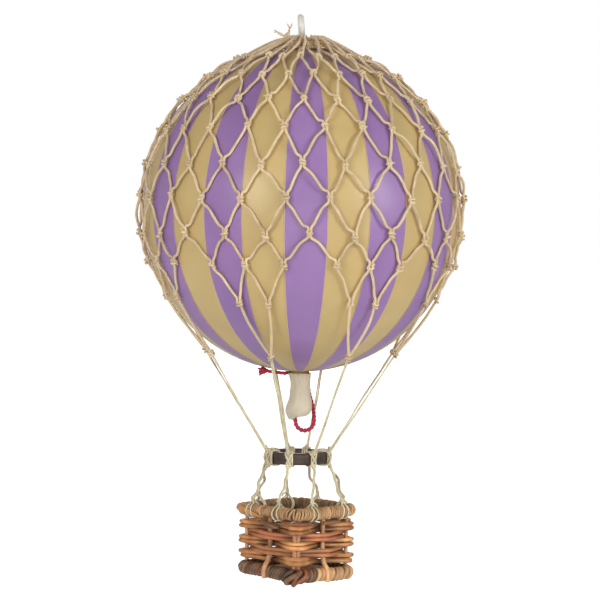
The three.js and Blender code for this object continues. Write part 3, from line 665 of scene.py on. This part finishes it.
def add_ball():
    def face(inset, start_radius, end_radius, steps):
        """Radius and height over the ball's face, from near one pole to near the other."""
        radius, half = BALL_RADIUS - inset, BALL_HALF_HEIGHT - inset
        first = acos(start_radius / radius)
        last = -acos(end_radius / radius)
        angles = [first + (last - first) * k / steps for k in range(steps + 1)]
        return [(radius * cos(a), BALL_MIDDLE_Z + half * sin(a)) for a in angles]

    profile = [(SPIGOT_INNER, SPIGOT_END_Z), (SPIGOT_OUTER, SPIGOT_END_Z), (SPIGOT_OUTER, SPIGOT_END_Z + 0.3)]
    profile += face(0, CROWN_HOLE, SPIGOT_OUTER, 120)[::-1]
    profile += face(BALL_WALL, CROWN_HOLE, SPIGOT_INNER, 40)
    shape = Shape()
    shape.add(*lathe(profile, 192, GORE_TURN))
    shape.stand_in("envelope_ball", ["gold"], "envelope_shell", "envelope")

    rows = 96
    half_width = 180 / (2 * GORE_COUNT)
    for i in range(GORE_COUNT):
        centre = GORE_TURN + 360 / GORE_COUNT * i
        shape = Shape()
        count = 17
        for lift in GORE_LIFTS:
            points = []
            for r in range(rows):
                latitude = -GORE_LATITUDE + 2 * GORE_LATITUDE * r / (rows - 1)
                edge = degrees(GORE_SEAM / (BALL_RADIUS * cos(radians(latitude))))
                body = max(half_width - edge, half_width * 0.3)
                angles = [-half_width] + [body * (2 * k / (count - 3) - 1) for k in range(count - 2)]
                angles.append(half_width)
                points += [on_ball(latitude, centre + a, lift) for a in angles]
            faces = grid_faces(rows, count, wrap_columns=False)
            first = shape.count
            shape.add(points, faces if first else [face[::-1] for face in faces])
        for k in range(len(faces)):
            if k % (count - 1) in (0, count - 2):
                shape.slots[len(shape.slots) - len(faces) + k] = 1
        border = [r * count for r in range(rows)]
        border += [(rows - 1) * count + c for c in range(1, count)]
        border += [r * count + count - 1 for r in range(rows - 2, -1, -1)]
        border += list(range(count - 2, 0, -1))
        shape.join(border, first, 1)
        shape.stand_in(f"gore_skin_{i + 1:02d}", ["lavender", "seam"],
                       f"gore_{i + 1:02d}", "envelope")


def add_eye():
    shape = Shape()
    loop = [np.array((0, EYE_LOOP_RADIUS * cos(k / 16 * TAU),
                      EYE_LOOP_Z + EYE_LOOP_RADIUS * sin(k / 16 * TAU))) for k in range(16)]
    shape.add(*tube(spline(loop, 0.7, True), EYE_BAR_RADIUS, 20, closed=True, up=(1, 0, 0)))
    shape.add(*lathe(EYE_STEM_PROFILE, EYE_SIDES, closed=False))
    for points in shape.points:
        points[:, 0] -= EYE_LEAN * np.clip(points[:, 2] - EYE_LEAN_FROM_Z, 0, None)
    shape.stand_in("hanging_eye_moulded", ["white"], "hanging_eye", "envelope")
    washer = Shape()
    washer.add(*lathe(WASHER_PROFILE, EYE_SIDES))
    washer.stand_in("eye_retainer_moulded", ["white"], "eye_retainer", "envelope")


# ---- Net ----

def row_turn(row):
    return NET_TURN + NET_TWIST * row


def row_place(row, column):
    """Latitude and azimuth of a knot; the last row is drawn together in groups of three."""
    spacing = 360 / NET_COLUMNS
    plain = row_turn(row) + column * spacing + (0 if row % 2 == 1 else spacing / 2)
    if row < len(NET_ROWS) - 1:
        return NET_ROWS[row], plain
    centre = GROUP_TURN + round((plain - GROUP_TURN) / 45) * 45
    return NET_ROWS[row], centre + round((plain - centre) / spacing) * GROUP_SPREAD


def shifted_on_ball(place, across, up, lift):
    """A point of the net moved sideways and up from a knot, in millimetres along the ball."""
    latitude, azimuth = place
    new_latitude = latitude + degrees(up / (BALL_HALF_HEIGHT + lift))
    ring = (BALL_RADIUS + lift) * cos(radians(latitude))
    return on_ball(new_latitude, azimuth + degrees(across / ring), lift)


def net_leg(upper, lower, arch, slack):
    """One cord between two knots: side by side with its neighbour in both, and bowed a little between."""
    side = 1 if lower[1] > upper[1] else -1
    half = CORD / 2
    start = [shifted_on_ball(upper, side * half, 0.3, KNOT_LIFT),
             shifted_on_ball(upper, side * half * 1.05, -2.5, BESIDE_KNOT_LIFT)]
    end = [shifted_on_ball(lower, -side * half * 1.1, 3.0, BESIDE_KNOT_LIFT),
           shifted_on_ball(lower, -side * half, -0.3, KNOT_LIFT)]
    middle = []
    for t in (0.32, 0.54, 0.76):
        latitude = upper[0] + (lower[0] - upper[0]) * t
        azimuth = upper[1] + (lower[1] - upper[1]) * (0.5 + (t - 0.5) * 0.92)
        bow = sin(pi * t) * 1.5 * arch
        lift = LEG_LIFT + slack * sin(pi * t)
        middle.append(shifted_on_ball((latitude, azimuth), side * bow, bow * 0.7, lift))
    return start + middle + end


def net_cord(cords, line):
    rope(cords, line, NET_CORD_RADIUS, step=NET_CORD_STEP, pitch=CORD_PITCH, sides=8)


def add_net():
    last = len(NET_ROWS) - 1
    places = []
    for row in range(last + 1):
        shake = 0.6 if row == last else 1.15
        line = []
        for column in range(NET_COLUMNS):
            latitude, azimuth = row_place(row, column)
            line.append((latitude + vary(-shake, shake) * 0.8, azimuth + vary(-shake, shake)))
        places.append(line)
    cords, knots = Shape(), Shape()

    def tie(latitude, azimuth):
        at = on_ball(latitude, azimuth, KNOT_LIFT)
        up = on_ball(latitude + 1, azimuth) - on_ball(latitude, azimuth)
        wrapped_knot(knots, at, around(1, azimuth + 90, 0), up)

    def leg(upper, lower, arch, slack):
        net_cord(cords, net_leg(upper, lower, arch, slack))

    for column in range(NET_COLUMNS):
        crown_loop(cords, places[0][column], places[0][(column + 1) % NET_COLUMNS])
    for row in range(last):
        for column in range(NET_COLUMNS):
            upper = places[row][column]
            beside = (column - 1 if row % 2 == 1 else column + 1) % NET_COLUMNS
            for other in (column, beside):
                latitude, azimuth = places[row + 1][other]
                azimuth += 360 * round((upper[1] - azimuth) / 360)
                arch = vary(-0.45, 0.75)
                leg(upper, (latitude, azimuth), arch, chance.choice((0, 0, 0.3, 0.7, 1.5, 2.4)))
    for row in range(last + 1):
        for column in range(NET_COLUMNS):
            tie(*places[row][column])
    for group in range(GROUP_COUNT):
        add_group(cords, knots, places[last], group, leg, tie)
    for shape, name in ((cords, "net_cords"), (knots, "net_knots")):
        net = shape.piece(name, ["cord"])
        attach(net, "net")
        if name == "net_cords":
            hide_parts("net")


def crown_loop(cords, first, second):
    """One loop of the net's top edge, passed over and under the crown cord."""
    end = (second[0], second[1] + (360 if second[1] < first[1] - 180 else 0))
    centre = (first[1] + end[1]) / 2 + vary(-3, 3)
    half = CORD / 2

    def heap(radius, azimuth, share):
        """A place in the heap of cords round the crown, share of the way up through it."""
        low = on_ball(degrees(acos(radius / BALL_RADIUS)), azimuth, HEAP_LIFT)
        depth = HEAP_DEPTH * max(0, min(1, (36 - radius) / 20))
        return low + (0, 0, depth * share)

    def side(knot_place, way, share):
        azimuth = knot_place[1]
        start = [shifted_on_ball(knot_place, way * half, 0, KNOT_LIFT),
                 shifted_on_ball(knot_place, way * half * 1.3, 3.0, 2.3)]
        slant = azimuth + (centre - azimuth) * 0.55
        return start + [heap(27, slant, share), heap(20, azimuth + (centre - azimuth) * 0.8, share)]

    up_share, down_share = vary(0.5, 1.05), vary(0.0, 0.75)
    spread = vary(3.5, 6.5)
    rise = side(first, 1, up_share) + [heap(15, centre - spread, up_share * 0.9 + 0.1)]
    over = [around(12.2, centre - spread, CROWN_CORD_Z + 0.7),
            around(10.2, centre - spread, CROWN_CORD_Z + 1.75),
            around(8.2, centre, CROWN_CORD_Z + 1.2), around(7.6, centre + 1, CROWN_CORD_Z - 0.6),
            around(9.8, centre + spread, CROWN_CORD_Z - 1.75),
            around(12.2, centre + spread, CROWN_CORD_Z - 1.9)]
    fall = side(end, -1, down_share)[::-1]
    line = np.array(rise + over + [heap(15, centre + spread, down_share)] + fall)
    near = np.clip((30 - np.hypot(line[:, 0], line[:, 1])) / 16, 0, 1)
    line[:, 0] += CROWN_SHIFT * near
    net_cord(cords, line)


def add_group(cords, knots, last_row, group, leg, tie):
    """Three knots of the last row drawn to two, and these two to one, above each line."""
    centre = GROUP_TURN + 45 * group
    drawn = LINE_AZIMUTHS[group]
    middle = round((centre - row_turn(len(NET_ROWS) - 1)) / (360 / NET_COLUMNS))

    def knot_place(offset):
        latitude, azimuth = last_row[(middle + offset) % NET_COLUMNS]
        return latitude, azimuth + 360 * round((centre - azimuth) / 360)

    merge = around(MERGE_RADIUS, drawn, MERGE_Z)
    for side in (-1, 1):
        pair = (PAIR_LATITUDE + vary(-1.2, 1.2), centre + side * PAIR_SPREAD + vary(-0.8, 0.8))
        leg(knot_place(side), pair, 0.2, vary(0, 0.6))
        leg(knot_place(0), pair, 0.2, vary(0, 0.6))
        tie(*pair)
        start = on_ball(pair[0], pair[1], KNOT_LIFT)
        way = merge - start
        bow = around(1, pair[1], 0) * vary(0.5, 1.2) + around(1, centre + 90 * side, 0) * 1.2
        line = [start + way * 0.03, start + way * 0.35 + bow, start + way * 0.7 + bow * 0.8,
                merge - unit(way) * 0.8]
        net_cord(cords, line)
    up = unit(around(MERGE_RADIUS + 6, drawn, MERGE_Z + 10) - merge)
    wrapped_knot(knots, merge, around(1, drawn + 90, 0), up)


def add_crown_cord():
    shape = Shape()
    for radius, z in CROWN_CORD_TURNS:
        loop = [around(radius + 0.12 * sin(k * 2.3), 20 * k, z) + (CROWN_SHIFT, 0, 0) for k in range(18)]
        rope(shape, loop, step=0.6, closed=True, pitch=CORD_PITCH, sides=8)
    knot(shape, np.array(CROWN_KNOT), np.array((0, 1.0, 0)), UP, 1.0)
    for line, share in CROWN_CORD_ENDS:
        rope(shape, line, CORD / 2 * share, step=0.5, pitch=CORD_PITCH, sides=8, taper=0.8)
        if share < 0.6:
            tip, way = np.array(line[-1]), np.array(line[-1]) - np.array(line[-2])
            frayed_end(shape, tip - unit(way) * 0.8, way, 4, 1.1, 0.16, 0.25)
    shape.stand_in("crown_cord_knotted", ["cord"], "crown_cord", "net")


# ---- Lines, ring and hitches ----

def add_upper_lines():
    radius = LINE_STRAND
    for g, azimuth in enumerate(LINE_AZIMUTHS):
        shape = Shape()
        top = around(MERGE_RADIUS, azimuth, MERGE_Z)
        end = around(LINE_END_RADIUS - 0.8, azimuth, UPPER_LINE_END_Z)
        side = around(1, azimuth + 90, 0)
        parting = vary(0.0, 0.35)
        for cord, way in enumerate((-1, 1)):
            line = []
            for k in range(13):
                t = k / 12
                apart = sin(pi * min(1, t * 1.35)) if t < 0.74 else 0
                gap = way * radius * (0.84 + parting * apart)
                drift = side * (gap + 0.45 * wave(g + 50, t * 3) * sin(pi * t))
                bow = around(1, azimuth, 0) * 0.7 * wave(g + 80 + cord * 0.3, t * 2.5) * sin(pi * t)
                line.append(top + (end - top) * (0.02 + 0.98 * t) + drift + bow)
            rope(shape, line, radius, step=0.7, pitch=LINE_PITCH, sides=8, depth=0.04, tint=0.6)
        shape.stand_between(f"upper_line_cords_{g + 1}", "line", f"upper_line_{g + 1}")


def ring_section(angle, reach):
    """A point round the ring's section, reach outside it: radius and height from the section's centre."""
    half_r, half_z = (RING_OUTER - RING_INNER) / 2 + reach, RING_HEIGHT / 2 + reach
    c, s = cos(angle), sin(angle)
    power = 0.45
    return half_r * copysign(abs(c) ** power, c), half_z * copysign(abs(s) ** power, s)


def add_ring():
    shape = Shape()
    middle = (RING_OUTER + RING_INNER) / 2
    profile = []
    for k in range(40):
        r, z = ring_section(-k / 40 * TAU, 0)
        profile.append((middle + r, RING_Z + z))
    shape.add(*lathe(profile[::-1], 128))
    shape.stand_in("load_ring_turned", ["ring"], "load_ring", "ring")


def add_hitches():
    middle = (RING_OUTER + RING_INNER) / 2
    radius = HITCH_STRAND
    for g, azimuth in enumerate(LINE_AZIMUTHS):
        side = around(1, azimuth + 90, 0)
        shape = Shape()
        lean = vary(-0.5, 0.5)
        line = []
        for k in range(HITCH_TURNS * 16 + 1):
            t = k / 16
            r, z = ring_section(t * TAU + 0.9, radius + 0.06)
            offset = (t - HITCH_TURNS / 2) * radius * 2.1 + lean * sin(t * TAU)
            line.append(around(middle + r, azimuth, RING_Z + z) + side * offset)
        rope(shape, line, radius, step=0.7, pitch=LINE_PITCH, sides=9)
        face = RING_OUTER + radius * 3
        hand = chance.choice((-1, 1))
        for start, end, lift in HITCH_CROSSES:
            cross = [around(face - 1.2, azimuth, RING_Z + start[1]) + side * start[0] * hand,
                     around(face + lift, azimuth, RING_Z + start[1] * 0.35) + side * start[0] * hand * 0.45,
                     around(face + lift, azimuth, RING_Z + end[1] * 0.35) + side * end[0] * hand * 0.45,
                     around(face - 1.0, azimuth, RING_Z + end[1]) + side * end[0] * hand]
            rope(shape, cross, radius, step=0.6, pitch=LINE_PITCH, sides=9)
        for z, lift in ((UPPER_LINE_END_Z + 0.1, 1.5), (LOWER_LINE_TOP_Z + 0.5, 1.6)):
            at = around(RING_OUTER + lift, azimuth, z)
            knot(shape, at, side, UP, vary(0.85, 1.0), radius)
        shape.stand_in(f"ring_hitch_cords_{g + 1}", ["line"], f"ring_hitch_{g + 1}", "ring")


def add_lower_lines():
    radius = LINE_STRAND
    for g, azimuth in enumerate(LINE_AZIMUTHS):
        centre, along, out = rim_point(*RIM_TIES[g])
        reach = TOP_RIM_RADIUS + radius + 0.1
        top = around(LINE_END_RADIUS - 1.0, azimuth, LOWER_LINE_TOP_Z)
        foot = centre + (0, 0, reach + 2.4) + out * 0.8
        shape = Shape()
        side = unit(np.cross(foot - top, out))
        for way in (-1, 1):
            line = []
            for k in range(11):
                t = k / 10
                bulge = sin(pi * t)
                gap = way * radius * (0.92 + 0.2 * bulge * (1 + wave(g + 9, 2.2)))
                drift = side * (gap + 2.6 * wave(g + 20, t * 3.0) * bulge)
                bow = out * 1.4 * wave(g + 33, t * 2.6) * bulge
                line.append(top + (foot - top) * t + drift + bow)
            loop = []
            for k in range(1, 17):
                a = pi / 2 - k / 16 * TAU
                open_out = sin(min(1, k / 10) * pi) ** 0.7
                spread = way * (0.5 + 1.35 * open_out + 0.25 * wave(g + 60, k * 0.3))
                round_roll = out * cos(a) * reach + UP * sin(a) * reach
                loop.append(centre + round_roll + along * spread)
            loop[-1] = foot
            rope(shape, line + loop, radius * 1.08, step=0.6, pitch=LINE_PITCH, sides=8, depth=0.07)
        knot(shape, foot, along, UP, 1.0, radius * 1.15)
        tail = [foot, foot + along * 1.7 + out * 1.2 + (0, 0, -0.9),
                foot + along * 2.6 + out * 1.8 + (0, 0, -2.6)]
        rope(shape, tail, radius, step=0.6, pitch=LINE_PITCH, sides=8)
        shape.stand_between(f"lower_line_cords_{g + 1}", "line", f"lower_line_{g + 1}")


# ---- Neck sleeve ----

def add_sleeve():
    profile = spline([(r, 0, z) for r, z in SLEEVE_PROFILE], 0.5)
    radii, heights = profile[:, 0], profile[:, 2]
    top, low = heights[0], heights[-1]
    segments = SLEEVE_SIDES
    shape = Shape()

    def wall(inset):
        rows = []
        for radius, z in zip(radii, heights):
            down = (top - z) / (top - low)
            for k in range(segments):
                azimuth = 360 * k / segments
                a = radians(azimuth)
                to_left = cos(a + pi / 2)
                gather = 0.22 * cos(13 * a + 0.6) * max(0, 1 - down * 2.6)
                pleat = 0.16 * cos(5 * a + 1.4 + down * 0.8) * min(1, down * 3)
                bulge = 1.3 * max(0, to_left) ** 2 * exp(-((down - 0.8) / 0.14) ** 2)
                crease = 0.3 * wave(4, azimuth / 40 + down * 3) + 0.2 * wave(9, down * 8)
                drop = np.interp(to_left, *SLEEVE_MOUTH)
                mouth = drop * max(0, down - 0.45) / 0.55
                flare = 0.35 * max(0, -to_left) * max(0, 1 - down * 6)
                r = radius + gather + pleat + bulge + flare + crease * min(1, down * 4) - inset
                at = around(r, azimuth, z + mouth)
                rows.append(at + (np.interp(down, *SLEEVE_SHIFT), 0, 0))
        return rows

    outer, inner = wall(0), wall(SLEEVE_WALL)
    rows = len(heights)
    shape.add(outer, [f[::-1] for f in grid_faces(rows, segments)])
    shape.add(inner, grid_faces(rows, segments))
    low_lip = [(rows - 1) * segments + k for k in reversed(range(segments))]
    for lip in (list(range(segments)), low_lip):
        shape.join(lip, rows * segments)
    shape.stand_between("neck_sleeve_gathered", "sleeve", "neck_sleeve")


# ---- Basket ----

def crooked(point):
    """The basket's hand-made lean: its right side sits a little lower towards the base."""
    down = max(0, TOP_RIM_Z - point[2]) / (TOP_RIM_Z - BOTTOM_RIM_Z)
    return np.array((point[0], point[1], point[2] - 0.042 * point[0] * down))


def painted_inner_shade(points, tint):
    """Painted shade: cane is darker on its faces towards the inside of the basket, where shade falls."""
    # Painted shade: the faces towards the inside of the basket are darkened.
    across = np.hypot(points[:, 0], points[:, 1])
    reach = np.maximum(np.abs(points[:, 0] + points[:, 1]), np.abs(points[:, 0] - points[:, 1])) / sqrt(2)
    outside = np.clip((np.maximum(reach, across * 0.74) - WEAVE_HALF + 3.0) / 6.0, 0, 1)
    return tint * (0.05 + 0.95 * outside)


def wrap(shape, half, turn, z, core, strand, tilt, tint, hue, slot=0):
    """One strand of cane bound round a rim's roll; tilt is how far along the rim it slants."""
    thick = min(strand * 0.5, 1.3)
    outward = rounded_square(turn, half, RIM_CORNER)[1]
    line = []
    for k in range(16):
        a = k / 16 * TAU
        at, out = rounded_square(turn + tilt * sin(a) / (8 * half), half, RIM_CORNER)
        reach = core + strand * 0.92 - thick
        line.append(crooked(at + out * cos(a) * reach + np.array((0, 0, z + sin(a) * reach))))
    points, faces = tube(np.array(line), thick, 8, closed=True, up=(-outward[1], outward[0], 0),
                         flat=strand * 0.5 / thick)
    # Faces towards the inside of the basket get painted shade.
    shape.add(points, faces, tint=painted_inner_shade(points, tint), hue=hue, slot=slot)


def rim_core(shape, half, z, radius):
    line = [crooked(rounded_square(k / 96, half, RIM_CORNER)[0] + (0, 0, z)) for k in range(96)]
    # The core gets the lowest tint, so the gaps between the wraps show dark: painted shade.
    shape.add(*tube(np.array(line), radius, 14, closed=True, up=UP), tint=0.0)


def rim_length(half):
    return 8 * (half - RIM_CORNER) + TAU * RIM_CORNER


def add_top_rim():
    shape = Shape()
    strand, length = TOP_WRAP, rim_length(TOP_RIM_HALF)
    rim_core(shape, TOP_RIM_HALF, TOP_RIM_Z, TOP_RIM_RADIUS - strand * 0.8)
    at = 0.0
    while at < length - 0.5:
        width = strand * vary(0.8, 1.15)
        core = TOP_RIM_RADIUS - strand + 0.18 * wave(7, at * 0.4)
        wrap(shape, TOP_RIM_HALF, at / length, TOP_RIM_Z + 0.25 * wave(2, at * 0.1), core, width,
             vary(0.0, 1.0), vary(0.5, 0.85), vary(0.25, 0.7))
        corner = max(0, 1 - abs(at / length * 4 - round(at / length * 4)) / 0.09)
        at += width * (1.22 - 0.46 * corner)
    add_rim_strip(shape)
    shape.stand_in("basket_top_rim_bound", ["rim", "orange"], "basket_top_rim", "basket")


def ribbon(shape, middles, ways, outs, width, thickness, tint, hue, slot=0):
    """A flat split of cane: its middle line, the way across it and its outer side at each point."""
    rows = []
    last = len(middles) - 1
    for k, (middle, way, out) in enumerate(zip(middles, ways, outs)):
        full = width * min(1, 0.35 + 4 * min(k, last - k) / last)
        for across, deep in SPLIT_CANE_SECTION:
            rows.append(crooked(middle + unit(way) * across * full + unit(out) * deep * thickness))
    count = len(SPLIT_CANE_SECTION)
    faces = grid_faces(len(middles), count)
    faces.append(tuple(range(count))[::-1])
    faces.append(tuple((len(middles) - 1) * count + k for k in range(count)))
    shape.add(rows, faces, tint=tint, hue=hue, slot=slot)


def add_rim_strip(shape):
    """The broad split that runs slantwise over the rim's front left side, and its dark curled end."""
    def split(steps, start, turn_by, lay, *look):
        rows = []
        for k in range(steps + 1):
            t = k / steps
            at, out = rounded_square(start + turn_by * t, TOP_RIM_HALF, RIM_CORNER)
            rise, way, away = lay(t, out)
            rows.append((at + rise + (0, 0, TOP_RIM_Z), way, away))
        ribbon(shape, *zip(*rows), *look, slot=1)

    def over_rim(t, out):
        a = radians(34 - 92 * t)
        away = out * cos(a) + UP * sin(a)
        along = np.array((-out[1], out[0], 0.0))
        return away * (TOP_RIM_RADIUS + 0.1), out * -sin(a) + UP * cos(a) + along * 0.3, away

    def curled(t, out):
        return out * (1.9 + 2.6 * sin(pi * t)) + (0, 0, -5.2 - 2.8 * t), UP + out * (0.6 - 1.2 * t), out

    split(24, 0.738, 0.125, over_rim, 3.8, 0.7, 0.5, 0.0)
    split(16, 0.853, 0.085, curled, 3.6, 1.0, 0.14, 0.6)


def add_bottom_rim():
    shape = Shape()
    length = rim_length(BOTTOM_RIM_HALF)
    rim_core(shape, BOTTOM_RIM_HALF, BOTTOM_RIM_Z, BOTTOM_RIM_RADIUS - 1.9)
    at = 0.0
    while at < length - 1.2:
        turn = at / length
        side = turn * 4 % 4
        near_corner = max(0, 1 - min(side, 4 - side) / 0.14)
        yellow = 0.3 < side < 1.05 or 1.6 < side < 2.2
        usual = BOTTOM_WRAP_YELLOW if yellow else BOTTOM_WRAP_CORNER if near_corner else BOTTOM_WRAP
        width = usual * vary(0.85, 1.15)
        core = BOTTOM_RIM_RADIUS - width * 0.92 + 1.3 * near_corner
        reddish = near_corner > 0 and side < 1 or chance.random() < 0.12 and not yellow
        tint = vary(0.5, 0.9) if yellow else vary(0.0, 0.4)
        hue = vary(0.45, 1.0) if yellow else vary(0.0, 0.15)
        wrap(shape, BOTTOM_RIM_HALF, turn, BOTTOM_RIM_Z + 0.3 * wave(5, at * 0.12) - 1.0 * near_corner, core,
             width, vary(0.8, 2.6) * (1.6 if near_corner else 1), tint, hue, int(reddish))
        at += width * 1.13
    shape.stand_in("basket_bottom_rim_bound", ["rim", "brown"], "basket_bottom_rim", "basket")


def cane(shape, line, radius, tint, hue=0.0, smooth=True):
    """A length of round cane: slightly uneven, streaked along its length, with pale cut ends."""
    path = spline(line, CANE_STEP) if smooth else np.asarray(line, float)
    path = np.array([crooked(p) for p in path])
    seed = vary(1, 90)
    run = lengths(path)
    radii = np.array([radius * (1 + 0.07 * wave(seed, s * 0.25)) for s in run])
    points, faces = tube(path, radii, CANE_SIDES)
    angle = np.arange(CANE_SIDES) / CANE_SIDES * TAU
    streak = 0.22 * np.cos(3 * angle + seed) + 0.1 * np.cos(5 * angle + seed * 2)
    blotch = np.array([0.25 * wave(seed + 30, s * 0.12) for s in run])
    # Faces towards the inside of the basket get painted shade.
    tints = painted_inner_shade(points, tint).reshape(len(path), CANE_SIDES)
    tints = tints + streak[None, :] * tint + blotch[:, None] * tint
    shape.add(points, faces, tint=np.clip(tints, 0, 1.2).reshape(-1), hue=hue)
    shape.slots[-1] = 1
    shape.slots[-2] = 1


def woven_round(shape, z, offset_at, radius, tint, hue, start, corner):
    """One strand that goes once round the basket, in front of some stakes and behind the others."""
    seed = vary(1, 90)
    line = []
    for k in range(WEAVER_STEPS + 1):
        turn = start + (1 + WEAVER_OVERLAP) * k / WEAVER_STEPS
        at, out = rounded_square(turn, WEAVE_HALF, corner)
        lay = 0.34 * wave(seed, turn * 9) + 0.35 * (k / WEAVER_STEPS - 0.5)
        line.append(at + out * (offset_at(turn) + 0.22 * wave(seed + 40, turn * 11)) + (0, 0, z + lay))
    cane(shape, line, radius, tint, hue, smooth=False)


def swing(turn):
    """1 at the corners and -1 at the middle of each side, nearly straight between them."""
    share = abs(turn * 4 - round(turn * 4))
    return 0.4 * cos(TAU * share) + 0.6 * (1 - 4 * share)


def outer_offset(turn):
    return 3.05 * swing(turn) - 0.45


def inner_offset(turn):
    return 0.75 - 2.65 * swing(turn)


def add_weavers():
    shape = Shape()
    for level in OUTER_WEAVER_LEVELS:
        for strand in (-1, 1):
            woven_round(shape, level + strand * STRAND_APART, outer_offset, vary(1.2, 1.32),
                        vary(0.45, 1.0), vary(0.0, 0.35), chance.choice((0.36, 0.38, 0.61, 0.63)),
                        OUTER_WEAVER_CORNER)
    for middle_turn, z, reach, hue in LOOSE_CANES:
        short_cane(shape, middle_turn, z, reach, hue)
    shape.stand_in("weaver_outer_canes", ["orange", "pith"], "weaver_outer", "basket")

    shape = Shape()
    for level in INNER_WEAVER_LEVELS:
        woven_round(shape, level + 1.0, inner_offset, 1.28, vary(0.4, 0.9), vary(0, 0.5), 0.37,
                    INNER_WEAVER_CORNER)
        woven_round(shape, level - 1.3, inner_offset, 1.2, vary(0.2, 0.7), vary(0, 0.4), 0.64,
                    INNER_WEAVER_CORNER)
    shape.stand_in("weaver_inner_canes", ["brown", "pith"], "weaver_inner", "basket")


def short_cane(shape, middle_turn, z, reach, hue):
    """A short end of cane laid in just under the top rim."""
    line = []
    for k in range(-4, 5):
        turn = middle_turn + k / 4 * reach / (8 * WEAVE_HALF)
        at, out = rounded_square(turn, WEAVE_HALF, WEAVE_CORNER)
        rise = z + 0.25 * wave(middle_turn * 50 + 3, k * 0.4)
        line.append(at + out * (2.4 + 0.3 * cos(k)) + (0, 0, rise))
    cane(shape, line, 1.1, vary(0.3, 0.7), hue)


def add_stakes():
    top, foot = TOP_RIM_Z - TOP_RIM_RADIUS + 0.3, BOTTOM_RIM_Z + BOTTOM_RIM_RADIUS - 0.3
    middle_z = (top + foot) / 2
    for i in range(4):
        at, out = rounded_square(i / 4, WEAVE_HALF, WEAVE_CORNER)
        ahead = np.array((-out[1], out[0], 0))
        shape = Shape()
        for way in (-1, 1):
            beside = ahead * way * 1.2
            lean = ahead * vary(-0.2, 0.2)
            post = [at + beside + (0, 0, top), at + beside + lean + (0, 0, middle_z),
                    at + beside + (0, 0, foot)]
            cane(shape, post, POST_CANE_RADIUS, vary(0.6, 1.0), 0.0)
        shape.stand_in(f"corner_post_canes_{i + 1}", ["tan", "pith"],
                       f"corner_post_{i + 1}", "basket")

        at, out = rounded_square(i / 4 + 0.125, WEAVE_HALF, WEAVE_CORNER)
        ahead = np.array((-out[1], out[0], 0))
        lean = ahead * vary(-0.6, 0.6)
        shape = Shape()
        line = [at + (0, 0, top), at + lean * 0.3 + (0, 0, middle_z),
                at + out * 1.2 + lean * 0.5 + (0, 0, foot + 4.0),
                at + out * 4.1 + lean * 0.8 + (0, 0, foot - 0.2),
                at + out * 5.2 + lean * 0.9 + (0, 0, BOTTOM_RIM_Z - 0.3),
                at + out * 4.9 + lean + (0, 0, BOTTOM_RIM_Z - 3.6)]
        cane(shape, line, STAKE_CANE_RADIUS, vary(0.7, 1.0), 0.0)
        shape.stand_in(f"mid_stake_cane_{i + 1}", ["tan", "pith"],
                       f"mid_stake_{i + 1}", "basket")


def add_floor():
    shape = Shape()
    width = 2 * FLOOR_HALF / FLOOR_SLATS
    turn = radians(BASKET_TURN)
    for k in range(FLOOR_SLATS):
        x = -FLOOR_HALF + width * (k + 0.5)
        reach = FLOOR_HALF - (1.2 if k in (0, FLOOR_SLATS - 1) else 0)
        ends = [np.array((x * cos(turn) - y * sin(turn), x * sin(turn) + y * cos(turn),
                          FLOOR_TOP_Z - FLOOR_THICKNESS / 2)) for y in (-reach, -reach / 3, reach / 3, reach)]
        points, faces = tube(spline(ends, 2), width * 0.485, 12, flat=FLOOR_THICKNESS / width, up=UP)
        shape.add(points, faces, tint=vary(0.2, 0.8))
    shape.stand_in("basket_floor_slats", ["brown"], "basket_floor", "basket")


def main():
    looks.update(make_materials())
    add_camera()
    add_red_cords()
    add_stage()
    add_ball()
    add_eye()
    add_net()
    add_crown_cord()
    add_upper_lines()
    add_ring()
    add_hitches()
    add_lower_lines()
    add_sleeve()
    add_top_rim()
    add_bottom_rim()
    add_weavers()
    add_stakes()
    add_floor()


main()
